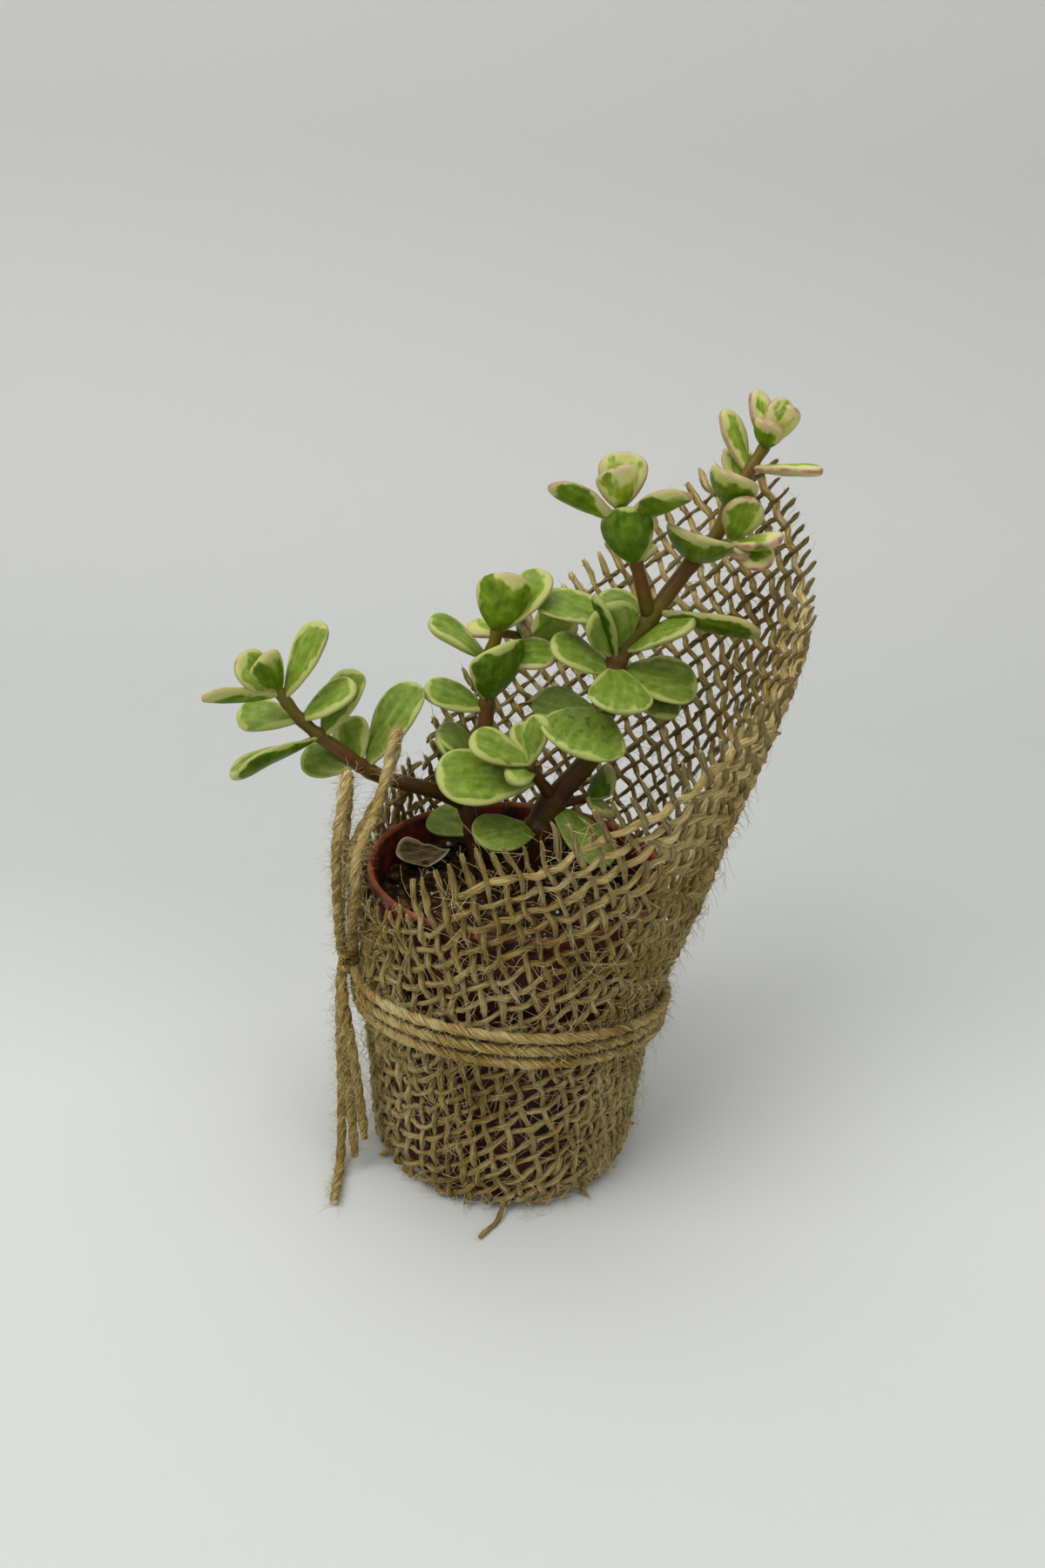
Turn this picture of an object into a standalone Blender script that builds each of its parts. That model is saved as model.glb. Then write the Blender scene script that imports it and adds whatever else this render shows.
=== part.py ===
"""A young elephant bush in a small plastic nursery pot, rolled in open burlap like a cornet
and tied with jute twine in a bow.

The origin is the centre of the pot's base on the floor, +Z is up, and the bow is on the -X side.
"""
import math

import bmesh
import bpy
from mathutils import Matrix, Vector, noise

MM = 0.001
CLEARANCE = 0.3 * MM

# The nursery pot: a thin moulded shell with a small lip and four drain holes
POT_HEIGHT = 60 * MM
POT_LIP_RADIUS = 28 * MM
POT_BASE_RADIUS = 22.5 * MM
POT_WALL = 1.1 * MM
POT_LIP_DEPTH = 3 * MM
POT_LIP_STEP = 0.9 * MM
POT_EDGE = 0.3 * MM
POT_SIDES = 32
DRAIN_HOLE_RADIUS = 2.2 * MM
DRAIN_HOLE_CIRCLE = 13 * MM
DRAIN_HOLES = 4
DRILL_SIDES = 12
DRILL_DEPTH = 6 * MM

# The peat fills the pot to a few millimetres below its lip
SOIL_TOP = 54 * MM
SOIL_BUMP = 0.5 * MM
SOIL_BUMP_SIZE = 5 * MM
STEM_DEPTH_IN_SOIL = 12 * MM

# A leaf is fleshy: widest beyond its middle, drawn in to a short stalk, round at the tip.
# Its stalk starts a little way back, inside the stem.
LEAF_THICKNESS = 2.1 * MM
LEAF_ROOT = 1.0 * MM
LEAF_STALK_POWER = 1.15
LEAF_TIP_POWER = 0.5
LEAF_SIDES = 8
LEAF_RINGS = 6

# A leaf turns its upper face partly to the light, above and in front, partly to its stem's tip.
# The light counts less the more nearly the leaf points at it.
LIGHT = (0, -0.75, 0.65)
STEM_PULL = 0.5
STEM_RESOLUTION = 2
STEM_STEP = 2.6 * MM

# Routes of the stems, in millimetres. The first point of a main stem is at the soil's surface
RIGHT_ROUTES = {
    "trunk": [(1, 8, 54), (1.4, 8, 57), (3, 8, 62), (6, 9.5, 69), (12, 11, 77), (14, 12, 85),
              (15.3, 13, 91), (16.3, 14, 97), (22, 16, 105), (28, 18, 114), (32, 19, 119),
              (34.5, 20, 126), (37, 21, 131), (39.5, 22, 135.5)],
    "side_twig": [(21, 15.5, 105), (17.5, 13.5, 115), (14.5, 12, 122), (13.5, 11.5, 125.5)],
    "spur": [(30.5, 18, 117), (35, 15.5, 119)],
    "low_shoot": [(6, 9.5, 69), (2.2, 4.5, 76), (0.8, 2.5, 79)],
    "low_spur": [(7.5, 10, 68), (13, 13, 68.5)],
}
LEFT_ROUTES = {
    "left_stem": [(-8, 8, 54), (-8, 8, 57), (-9.5, 8.8, 63), (-11, 9.5, 67)],
    "upright": [(-11, 9.5, 67), (-9, 10.5, 73), (-8, 11.5, 79), (-7.8, 13, 90), (-8.4, 13.5, 94),
                (-7, 14, 98), (-6.6, 14.5, 101)],
    "upright_twig": [(-7, 14.3, 100), (0, 22, 97)],
    "arm": [(-11, 9.5, 67), (-16, 7.5, 70), (-25, 5, 73), (-29.4, 4, 75.3), (-33.6, 3, 78.8),
            (-38, 2, 82.4), (-41.3, 1.5, 85.8), (-43.5, 1, 89), (-44.8, 1, 91)],
}

# Radius of each stem along its length, as (part of the length, millimetres)
RIGHT_RADII = {
    "trunk": [(0, 2.9), (0.25, 2.8), (0.285, 2.15), (0.5, 2.05), (0.68, 1.6), (0.87, 1.3), (1, 1.0)],
    "side_twig": [(0, 1.4), (0.6, 1.1), (1, 0.9)],
    "spur": [(0, 1.0), (1, 0.8)],
    "low_shoot": [(0, 1.3), (1, 0.9)],
    "low_spur": [(0, 1.0), (1, 0.8)],
}
LEFT_RADII = {
    "left_stem": [(0, 1.7), (1, 1.7)],
    "upright": [(0, 1.6), (0.6, 1.5), (1, 1.1)],
    "upright_twig": [(0, 0.9), (1, 0.8)],
    "arm": [(0, 1.6), (0.6, 1.35), (1, 1.0)],
}

# Each leaf: route, station along it (mm), heading from +X and rise (degrees),
# length and width (mm), then how far it is cupped, rolled and curled up (degrees)
RIGHT_LEAVES = [
    ("trunk", 93, 120, 52, 10, 5, 70, 0, 20),
    ("trunk", 93, 310, 52, 8.5, 5, 70, 0, 0),
    ("trunk", 93, 60, 50, 9, 5, 60, 0, 20),
    ("trunk", 92.5, 250, 30, 6.5, 6.5, 90, 0, 30),
    ("trunk", 87, 130, 50, 12.5, 5.5, 80, 0, 10),
    ("trunk", 88, 325, 5, 13.5, 6, 40, -5, 0),
    ("trunk", 80.5, 255, 22, 11, 10.5, 100, 0, 30),
    ("trunk", 84, 90, 30, 9, 7, 50, 0, 20),
    ("trunk", 69, 258, 14, 13, 14, 90, 20, 30),
    ("spur", 5, 285, 62, 10, 7.5, 50, -70, 0),
    ("spur", 5, 315, 2, 10.5, 8, 60, 0, 20),
    ("spur", 3, 300, -10, 7, 5, 40, 0, 10),
    ("spur", 4.5, 330, -25, 9, 7, 40, 0, 20),
    ("trunk", 57.5, 334, -7, 20, 8.5, 40, -55, 10),
    ("trunk", 54, 178, 9, 20.5, 9, 60, 0, 0),
    ("trunk", 56, 150, 12, 11, 7, 40, 0, 0),
    ("side_twig", 21, 85, 50, 10, 9, 70, 0, 30),
    ("side_twig", 21, 270, 48, 8.5, 8.5, 100, 0, 30),
    ("side_twig", 18.5, 196, 18, 15, 8, 100, 55, 10),
    ("side_twig", 18.5, 330, 27, 13.5, 8, 100, -55, 0),
    ("side_twig", 10.3, 250, 22, 12.5, 10.5, 100, 0, 80),
    ("side_twig", 10.3, 75, 20, 7, 6, 50, 0, 0),
    ("trunk", 46, 217, 63, 14.5, 7, 80, 0, 0),
    ("trunk", 46.5, 228, 66, 12, 11, 30, -85, 0),
    ("trunk", 48, 340, 30, 15, 9.5, 40, 0, 0),
    ("trunk", 44, 192, 22, 13.5, 10, 30, 0, 0),
    ("trunk", 45, 275, -20, 14, 12, 20, 0, 0),
    ("trunk", 44, 0, -8, 16, 12, 30, 0, 0),
    ("trunk", 41, 5, -15, 14, 9, 30, 0, 0),
    ("trunk", 36.5, 246, -12, 16.5, 17, 15, 0, 0),
    ("trunk", 35, 160, 5, 14, 9, 30, 0, 0),
    ("low_shoot", 13, 183, 22, 12, 7, 80, 0, 0),
    ("low_shoot", 13, 40, 78, 9.5, 5.5, 70, 0, 0),
    ("low_shoot", 13, 110, 45, 8.5, 5.5, 50, 0, 0),
    ("low_shoot", 10.5, 225, 0, 6.5, 5.5, 40, 0, 0),
    ("low_shoot", 7.5, 196, 2, 20, 12, 30, 0, 10),
    ("low_spur", 6, 340, 55, 8, 8, 40, 0, 0),
    ("low_spur", 6, 310, -15, 6.5, 6, 30, 0, 0),
    ("trunk", 10, 222, 5, 15.5, 10, 30, 0, 0),
    ("trunk", 15, 328, -30, 16.5, 9, 30, 0, 0),
]
LEFT_LEAVES = [
    ("upright", 21, 314, 36, 14.5, 15, 100, 0, 55),
    ("upright", 29, 200, 32, 13.5, 8.5, 70, 0, 0),
    ("upright", 29, 0, 6, 13, 8, 40, 0, 0),
    ("upright", 34, 286, 46, 12.5, 11.5, 110, 0, 60),
    ("upright", 34, 15, 50, 14.5, 8.5, 60, 0, 0),
    ("upright", 33.5, 147, 5, 6.5, 5, 40, 0, 0),
    ("upright_twig", 10.5, 10, 35, 9.5, 9, 40, 0, 0),
    ("upright_twig", 10.5, 10, -5, 9, 7, 40, 0, 0),
    ("upright_twig", 8, 265, 50, 5.5, 5, 50, 0, 0),
    ("upright", 19, 182, 17, 12.5, 8, 50, 0, 0),
    ("upright", 7, 200, 65, 11.5, 10, 50, 0, -40),
    ("upright", 4.5, 205, 52, 12.5, 8, 30, 0, 0),
    ("left_stem", 7.3, 138, 2, 11.5, 8, 20, 0, 0),
    ("arm", 21, 36, 54, 18.5, 10, 60, 0, 0),
    ("arm", 22.5, 173, 0, 11, 8, 30, 0, 0),
    ("arm", 22.5, 117, 48, 9.5, 7.5, 40, 0, 0),
    ("arm", 31.5, 221, -14, 18, 9, 30, 0, 0),
    ("arm", 31, 50, 53, 14, 8.5, 50, 0, 0),
    ("arm", 36, 5, 36, 12, 7.5, 60, 0, 0),
    ("arm", 42, 218, 6, 14.5, 6, 60, 45, 0),
    ("arm", 36, 168, -3, 12.5, 7, 30, 0, 0),
    ("arm", 41, 20, 62, 15.5, 8.5, 50, 0, 0),
    ("arm", 42.5, 212, 42, 10, 8, 50, -50, 0),
    ("arm", 42.5, 242, 65, 8.5, 7.5, 70, 0, 0),
]

# The fallen leaf that dries on the soil
DRY_LEAF_PLACE = (-23.5, 8, 55)
DRY_LEAF_LENGTH = 10 * MM
DRY_LEAF_WIDTH = 8.5 * MM
DRY_LEAF_THICKNESS = 0.8 * MM
DRY_LEAF_HEADING = 20
DRY_LEAF_CUP = 100
DRY_LEAF_CURL = 20

# The burlap: one square-cut sheet rolled round the pot like a cornet, one corner standing up.
# Its roll angle starts at the back left and goes clockwise seen from above.
# Roll angles are in degrees, and the heights, radii and reaches here in millimetres. The loose
# thread ends stand a little past the corner and the top edges of the closed weave.
SHEET_THICKNESS = 1.1 * MM
SHEET_COLUMNS = 46
SHEET_LOW_ROWS = [0.5, 18, 32, 37, 42, 48]
SHEET_HIGH_ROWS = 4
ROLL_START_HEADING = 150
ROLL_END = 380
ROLL_START_SLANT = 0.5
CORNER_ROLL = 107.5
CORNER_HEIGHT = 133
START_TOP_ROLL = 24.6
START_TOP_HEIGHT = 76
THREAD_ENDS = 2.6
ROLL_RATE = 0.233
ROLL_APEX = 103
ROLL_SLANT = 0.97
SAG_DEPTH = 22
SAG_FROM_ROLL = 205
SAG_TO_ROLL = 330
SWELL_HEIGHT = 4
SWELL_ROLL = 184
SWELL_WIDTH = 18

# How the rolled sheet stands off the pot: close at the left, leaning out at the right
HUG_RADII = [(0, 25.2), (36, 27.9), (57, 29.0), (62, 29.0), (70, 28.6)]
FLARE_MEAN = 0.12
FLARE_SWING = 0.16
FLARE_HEADING = 25
FLARE_FROM = 33
FLARE_BLEND = 8
LAP_FROM_ROLL = 318
LAP_TO_ROLL = 346
LAP_OFFSET = 1.65
LAP_EASE_FROM = 4
LAP_EASE = 16

# The twine is two-ply jute. It goes three times round the waist, lower at the back
TWINE_RADIUS = 1.0 * MM
TWINE_TURNS = 3
TWINE_MIDDLE_HEIGHT = 33
TWINE_TILT = 6
TWINE_PITCH = 2.5
TWINE_PITCH_SWING = 0.3
TWINE_POINTS_PER_TURN = 28
TURN_CLEARANCE = 0.65 * MM
TURN_END_ANGLE = 5
CROSS_FROM = 1000
CROSS_CLIMB = 10
CROSS_OFFSET = 2.4
CROSS_EASE = 0.13

# The knot: three bands of twine over a tight core, each as (tilt in degrees, shift in mm)
KNOT_HEADING = 190
KNOT_HEIGHT = 40
KNOT_TOP = 43.5
KNOT_BAND = 1.2 * MM
KNOT_BANDS = [(90, 0), (25, 1.3), (-25, -1.3)]
KNOT_SEGMENTS = 12
KNOT_SIDES = 6
KNOT_LIFT = 0.8
KNOT_LIFT_ANGLE = 30

# Routes of the bow's loops and tails, in millimetres, each from the knot outwards
BOW_STEP = 3.0 * MM
BOW_ROUTES = {
    "bow_loop_outer": [(-32.1, -7.0, 43.2), (-32.2, -8.6, 50), (-32.3, -9.9, 58), (-32.2, -9.9, 67),
                       (-31.4, -8.4, 74), (-31.2, -5.3, 77.6), (-31.4, -2.2, 74.4),
                       (-32.0, -1.2, 67), (-32.6, -1.8, 58), (-32.8, -3.0, 50), (-32.4, -4.4, 43.2)],
    "bow_loop_inner": [(-29.7, -6.7, 43.2), (-29.4, -10.0, 50), (-28.3, -12.6, 57),
                       (-28.4, -11.8, 64.5), (-25.6, -6.8, 72.5), (-24.4, -3.4, 78),
                       (-23.7, -2.4, 82.6), (-23.2, -0.4, 84.6), (-23.2, 1.5, 82.6),
                       (-23.9, 1.7, 78), (-25.8, -1.4, 72.5), (-29.8, -8.6, 64.5), (-29.7, -8.9, 57),
                       (-30.3, -6.0, 50), (-30.2, -4.1, 43.2)],
    "bow_tail_long": [(-32.4, -4.6, 37.1), (-32.6, -5.2, 31), (-32.3, -6.8, 22), (-31.6, -9.4, 13),
                      (-31.0, -13.0, 5.5), (-30.6, -16.8, 2.0), (-30.3, -21.0, 1.3), (-30.0, -27.5, 1.3)],
    "bow_tail_middle": [(-31.9, -7.4, 37.1), (-31.4, -9.2, 32), (-30.2, -11.8, 23),
                        (-28.9, -14.6, 12.5), (-27.7, -17.4, 3.2)],
    "bow_tail_short": [(-31.6, -9.0, 38.8), (-30.6, -11.8, 34), (-28.9, -14.3, 27),
                       (-27.1, -16.4, 17), (-25.8, -17.8, 8)],
}

# How finely curves are read and meshes are joined
PATH_FINENESS = 12
WELD_DISTANCE = 0.01 * MM
SHARP_ANGLE = 50
SOIL_SIDES = 32
SOIL_RINGS = 7
HOLE_CLEARANCE = 0.5 * MM

COLOURS = {
    "terracotta": (0.30, 0.075, 0.035),
    "peat": (0.022, 0.014, 0.010),
    "leaf": (0.17, 0.32, 0.07),
    "dry_leaf": (0.33, 0.22, 0.12),
    "jute": (0.38, 0.26, 0.12),
    "twine": (0.42, 0.29, 0.13),
}


def clear_scene():
    """Start from an empty scene."""
    for old in list(bpy.data.objects):
        bpy.data.objects.remove(old, do_unlink=True)


def new_collection(name):
    """Add a collection to the scene."""
    made = bpy.data.collections.new(name)
    bpy.context.scene.collection.children.link(made)
    return made


def finish(name, roughness):
    """A plain finish in one of the named colours."""
    made = bpy.data.materials.new(name)
    made.use_nodes = True
    shader = made.node_tree.nodes["Principled BSDF"]
    shader.inputs["Base Color"].default_value = (*COLOURS[name], 1)
    shader.inputs["Roughness"].default_value = roughness
    shader.inputs["Metallic"].default_value = 0
    return made


def add_object(name, shape, collection, surface=None):
    """Make a named, smoothly shaded object from a bmesh."""
    mesh = bpy.data.meshes.new(name)
    shape.to_mesh(mesh)
    shape.free()
    mesh.shade_smooth()
    mesh.set_sharp_from_angle(angle=math.radians(SHARP_ANGLE))
    if surface:
        mesh.materials.append(surface)
    made = bpy.data.objects.new(name, mesh)
    collection.objects.link(made)
    return made


def add_boolean(target, cutter, operation):
    """Cut the target with another object, or with every object of a collection."""
    step = target.modifiers.new(operation.lower(), "BOOLEAN")
    step.operation = operation
    if isinstance(cutter, bpy.types.Collection):
        step.operand_type = "COLLECTION"
        step.collection = cutter
    else:
        step.object = cutter
    return step


def hide_cutter(cutter):
    """Keep a cutter out of the finished model."""
    cutter.hide_render = True
    cutter.display_type = "WIRE"


def evaluated_mesh(source):
    """A copy of an object's mesh with its modifiers applied."""
    depsgraph = bpy.context.evaluated_depsgraph_get()
    return bpy.data.meshes.new_from_object(source.evaluated_get(depsgraph))


def as_mesh_object(curve):
    """Replace a curve object with a mesh whose end caps are joined to its wall."""
    mesh = evaluated_mesh(curve)
    shape = bmesh.new()
    shape.from_mesh(mesh)
    bmesh.ops.remove_doubles(shape, verts=shape.verts, dist=WELD_DISTANCE)
    bmesh.ops.triangulate(shape, faces=shape.faces)
    shape.to_mesh(mesh)
    shape.free()
    made = bpy.data.objects.new(curve.name + "_solid", mesh)
    made.matrix_world = curve.matrix_world
    curve.users_collection[0].objects.link(made)
    bpy.data.objects.remove(curve, do_unlink=True)
    return made


def smooth_step(part):
    """Ease from 0 to 1 as part goes from 0 to 1."""
    part = min(max(part, 0), 1)
    return part * part * (3 - 2 * part)


def between(table, place):
    """Read a table of (place, value) pairs, straight between its rows."""
    for (low, value), (high, next_value) in zip(table, table[1:]):
        if place <= high:
            return value + (next_value - value) * (place - low) / (high - low)
    return table[-1][1]


def curve_point(points, place):
    """The point at a place, counted in points, on the smooth curve through them all."""
    first = min(int(place), len(points) - 2)
    part = place - first
    before = points[max(first - 1, 0)]
    start = points[first]
    end = points[first + 1]
    after = points[min(first + 2, len(points) - 1)]
    slope = end - before
    bow = 2 * before - 5 * start + 4 * end - after
    twist = 3 * start - before - 3 * end + after
    return start + 0.5 * (slope * part + bow * part ** 2 + twist * part ** 3)


def smooth_path(route):
    """Many close points, in metres, on a smooth curve through a route in millimetres."""
    points = [Vector(place) * MM for place in route]
    count = (len(points) - 1) * PATH_FINENESS
    return [curve_point(points, step / PATH_FINENESS) for step in range(count + 1)]


def path_length(path):
    """Length along a path."""
    return sum((end - start).length for start, end in zip(path, path[1:]))


def walk(path, distance):
    """The point at a distance along a path, and the direction there."""
    left = distance
    for start, end in zip(path, path[1:]):
        step = (end - start).length
        if left <= step:
            return start.lerp(end, left / step), (end - start).normalized()
        left -= step
    return path[-1].copy(), (path[-1] - path[-2]).normalized()


def add_tube(name, path, step, radius_at, collection):
    """A round tube along a path, with a radius that may change on its way."""
    length = path_length(path)
    count = max(2, round(length / step))
    data = bpy.data.curves.new(name, "CURVE")
    data.dimensions = "3D"
    data.bevel_depth = MM
    data.bevel_resolution = STEM_RESOLUTION
    data.use_fill_caps = True
    spline = data.splines.new("POLY")
    spline.points.add(count)
    for index, point in enumerate(spline.points):
        place, _ = walk(path, length * index / count)
        point.co = (*place, 1)
        point.radius = radius_at(index / count) / data.bevel_depth
    made = bpy.data.objects.new(name, data)
    collection.objects.link(made)
    return made


def leaf_shape(length, width, thickness, cup, curl, placing):
    """One leaf blade: a ball drawn out to the leaf's outline, cupped, curled and placed.

    The stalk is at the origin, the tip along +X, and the upper face looks to +Z.
    """
    shape = bmesh.new()
    bmesh.ops.create_uvsphere(shape, u_segments=LEAF_SIDES, v_segments=LEAF_RINGS, radius=1)
    widest = LEAF_STALK_POWER / (LEAF_STALK_POWER + LEAF_TIP_POWER)
    peak = widest ** LEAF_STALK_POWER * (1 - widest) ** LEAF_TIP_POWER
    cup_radius = width / math.radians(max(cup, 1))
    for vert in shape.verts:
        along = min(max((vert.co.z + 1) / 2, 0), 1)
        around = math.atan2(vert.co.y, vert.co.x)
        spread = along ** LEAF_STALK_POWER * (1 - along) ** LEAF_TIP_POWER / peak
        side = spread * width / 2 * math.cos(around) / cup_radius
        lift = cup_radius - math.sqrt(spread) * thickness / 2 * math.sin(around)
        vert.co = (along * length, lift * math.sin(side), cup_radius - lift * math.cos(side))
    if curl:
        curl_radius = length / math.radians(curl)
        for vert in shape.verts:
            turn = vert.co.x / curl_radius
            arm = curl_radius - vert.co.z
            vert.co = (arm * math.sin(turn), vert.co.y, curl_radius - arm * math.cos(turn))
    bmesh.ops.transform(shape, matrix=placing, verts=shape.verts)
    bmesh.ops.recalc_face_normals(shape, faces=shape.faces)
    bmesh.ops.triangulate(shape, faces=shape.faces)
    return shape


def leaf_placing(place, heading, rise, up, roll):
    """The matrix that sets a leaf's stalk at a place and points its tip."""
    heading = math.radians(heading)
    rise = math.radians(rise)
    level = math.cos(rise)
    tip = Vector((level * math.cos(heading), level * math.sin(heading), math.sin(rise)))
    light = Vector(LIGHT).normalized()
    up = up * STEM_PULL + light * (1 - max(tip.dot(light), 0))
    face = (up - tip * up.dot(tip)).normalized()
    face.rotate(Matrix.Rotation(math.radians(roll), 3, tip))
    across = face.cross(tip)
    turned = Matrix((tip, across, face)).transposed().to_4x4()
    return Matrix.Translation(place) @ turned


def add_leafy_stem(name, routes, radii, leaves, parts, surface):
    """Stems with all their leaves, grown together in one body."""
    sprouts = new_collection(name + "_sprouts")
    paths = {}
    trunk = None
    for stem, route in routes.items():
        path = smooth_path(route)
        paths[stem] = path
        table = [(part, radius * MM) for part, radius in radii[stem]]
        home = sprouts
        if trunk is None:
            path = [path[0] - Vector((0, 0, STEM_DEPTH_IN_SOIL))] + path
            home = parts
        tube = add_tube(stem, path, STEM_STEP, lambda part: between(table, part), home)
        solid = as_mesh_object(tube)
        trunk = trunk or solid
    sunk = Matrix.Translation((-LEAF_ROOT, 0, 0))
    for index, (stem, station, heading, rise, length, width, cup, roll, curl) in enumerate(leaves):
        place, up = walk(paths[stem], station * MM)
        placing = leaf_placing(place, heading, rise, up, roll) @ sunk
        full_length = length * MM + LEAF_ROOT
        shape = leaf_shape(full_length, width * MM, LEAF_THICKNESS, cup, curl, placing)
        add_object(f"{name}_leaf_{index}", shape, sprouts)
    fused = add_boolean(trunk, sprouts, "UNION")
    fused.solver = "MANIFOLD"
    mesh = evaluated_mesh(trunk)
    for sprout in list(sprouts.objects):
        bpy.data.objects.remove(sprout, do_unlink=True)
    bpy.data.collections.remove(sprouts)
    bpy.data.objects.remove(trunk, do_unlink=True)
    shape = bmesh.new()
    shape.from_mesh(mesh)
    return add_object(name, shape, parts, surface)


def add_pot(parts, cutters):
    """The pot: its section turned round the axis, then drilled."""
    top = POT_HEIGHT
    shoulder = top - POT_LIP_DEPTH
    wall_top = POT_LIP_RADIUS - POT_LIP_STEP
    edge = POT_EDGE
    inner_foot = POT_BASE_RADIUS - POT_WALL
    profile = [
        (0, POT_WALL), (inner_foot - POT_WALL, POT_WALL), (inner_foot, 2 * POT_WALL),
        (wall_top - POT_WALL, shoulder), (POT_LIP_RADIUS - POT_WALL, top - edge),
        (POT_LIP_RADIUS - POT_WALL + edge, top), (POT_LIP_RADIUS - edge, top),
        (POT_LIP_RADIUS, top - edge), (POT_LIP_RADIUS, shoulder + edge),
        (wall_top, shoulder), (POT_BASE_RADIUS, 2 * edge), (POT_BASE_RADIUS - 2 * edge, 0), (0, 0),
    ]
    shape = bmesh.new()
    ring = [shape.verts.new((radius, 0, height)) for radius, height in profile]
    for start, end in zip(ring, ring[1:]):
        shape.edges.new((start, end))
    pot = add_object("pot", shape, parts, finish("terracotta", 0.45))
    screw = pot.modifiers.new("turn", "SCREW")
    screw.steps = POT_SIDES
    screw.render_steps = POT_SIDES
    screw.use_merge_vertices = True
    screw.merge_threshold = WELD_DISTANCE
    for index in range(DRAIN_HOLES):
        angle = math.tau * (index + 0.5) / DRAIN_HOLES
        drill = bmesh.new()
        place = Vector((math.cos(angle), math.sin(angle), 0)) * DRAIN_HOLE_CIRCLE
        bmesh.ops.create_cone(drill, cap_ends=True, segments=DRILL_SIDES, radius1=DRAIN_HOLE_RADIUS,
                              radius2=DRAIN_HOLE_RADIUS, depth=DRILL_DEPTH,
                              matrix=Matrix.Translation(place))
        cutter = add_object(f"drain_drill_{index}", drill, cutters)
        hide_cutter(cutter)
        add_boolean(pot, cutter, "DIFFERENCE")
    return pot


def add_soil(parts, cutters):
    """The peat: a plug that fills the pot, bumpy on top, with a plain hole for each stem."""
    foot = POT_BASE_RADIUS - 2 * POT_WALL - CLEARANCE
    taper = (POT_LIP_RADIUS - POT_LIP_STEP - POT_BASE_RADIUS) / (POT_HEIGHT - POT_LIP_DEPTH)
    low = POT_WALL + CLEARANCE
    high = POT_BASE_RADIUS + taper * SOIL_TOP - POT_WALL - 2 * CLEARANCE
    profile = [(0, SOIL_TOP)]
    profile += [(high * step / SOIL_RINGS, SOIL_TOP) for step in range(1, SOIL_RINGS + 1)]
    profile += [(foot + POT_WALL * 0.4, low + 2 * POT_WALL), (foot - POT_WALL, low), (0, low)]
    shape = bmesh.new()
    ring = [shape.verts.new((radius, 0, height)) for radius, height in profile]
    edges = [shape.edges.new(pair) for pair in zip(ring, ring[1:])]
    bmesh.ops.spin(shape, geom=ring + edges, cent=(0, 0, 0), axis=(0, 0, 1), angle=math.tau,
                   steps=SOIL_SIDES, use_merge=True)
    bmesh.ops.remove_doubles(shape, verts=shape.verts, dist=WELD_DISTANCE)
    bmesh.ops.recalc_face_normals(shape, faces=shape.faces)
    for vert in shape.verts:
        if vert.co.z > SOIL_TOP - CLEARANCE:
            vert.co.z += SOIL_BUMP * noise.noise(vert.co / SOIL_BUMP_SIZE)
    soil = add_object("soil", shape, parts, finish("peat", 0.95))
    plants = [("right", RIGHT_ROUTES, RIGHT_RADII), ("left", LEFT_ROUTES, LEFT_RADII)]
    for name, routes, radii in plants:
        main = next(iter(routes))
        foot_of_stem = Vector(routes[main][0]) * MM
        radius = radii[main][0][1] * MM + HOLE_CLEARANCE
        depth = STEM_DEPTH_IN_SOIL + CLEARANCE
        drill = bmesh.new()
        bmesh.ops.create_cone(drill, cap_ends=True, segments=DRILL_SIDES, radius1=radius,
                              radius2=radius, depth=2 * depth, matrix=Matrix.Translation(foot_of_stem))
        cutter = add_object(name + "_stem_drill", drill, cutters)
        hide_cutter(cutter)
        add_boolean(soil, cutter, "DIFFERENCE")
    return soil


def add_dry_leaf(parts):
    """A fallen leaf, shrivelled into a shallow boat on the soil."""
    place = Vector(DRY_LEAF_PLACE) * MM
    placing = leaf_placing(place, DRY_LEAF_HEADING, 0, Vector((0, 0, 1)), 0)
    shape = leaf_shape(DRY_LEAF_LENGTH, DRY_LEAF_WIDTH, DRY_LEAF_THICKNESS, DRY_LEAF_CUP,
                       DRY_LEAF_CURL, placing)
    return add_object("dry_leaf", shape, parts, finish("dry_leaf", 0.8))


def sag(roll):
    """How far the cloth has slipped down, in millimetres, at a roll angle."""
    swell = SWELL_HEIGHT * math.exp(-((roll - SWELL_ROLL) / SWELL_WIDTH) ** 2)
    return SAG_DEPTH * smooth_step((roll - SAG_FROM_ROLL) / (SAG_TO_ROLL - SAG_FROM_ROLL)) - swell


def flat_point(roll, height):
    """Where a point of the rolled sheet lies on the flat cloth, in millimetres."""
    reach = ROLL_APEX + (height + sag(roll)) / ROLL_SLANT
    turn = math.radians(roll) * ROLL_RATE
    return Vector((reach * math.sin(turn), reach * math.cos(turn)))


def top_edge(roll):
    """Height of the sheet's upper edge: two straight cut sides that meet square at the corner."""
    corner = flat_point(CORNER_ROLL, CORNER_HEIGHT)
    along = (corner - flat_point(START_TOP_ROLL, START_TOP_HEIGHT)).normalized()
    turn = math.radians(roll) * ROLL_RATE
    ray = Vector((math.sin(turn), math.cos(turn)))
    sides = [side for side in (along, Vector((-along.y, along.x))) if ray.dot(side) > 0]
    reach = min((corner.dot(side) + THREAD_ENDS) / ray.dot(side) for side in sides)
    return (reach - ROLL_APEX) * ROLL_SLANT - sag(roll)


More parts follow.
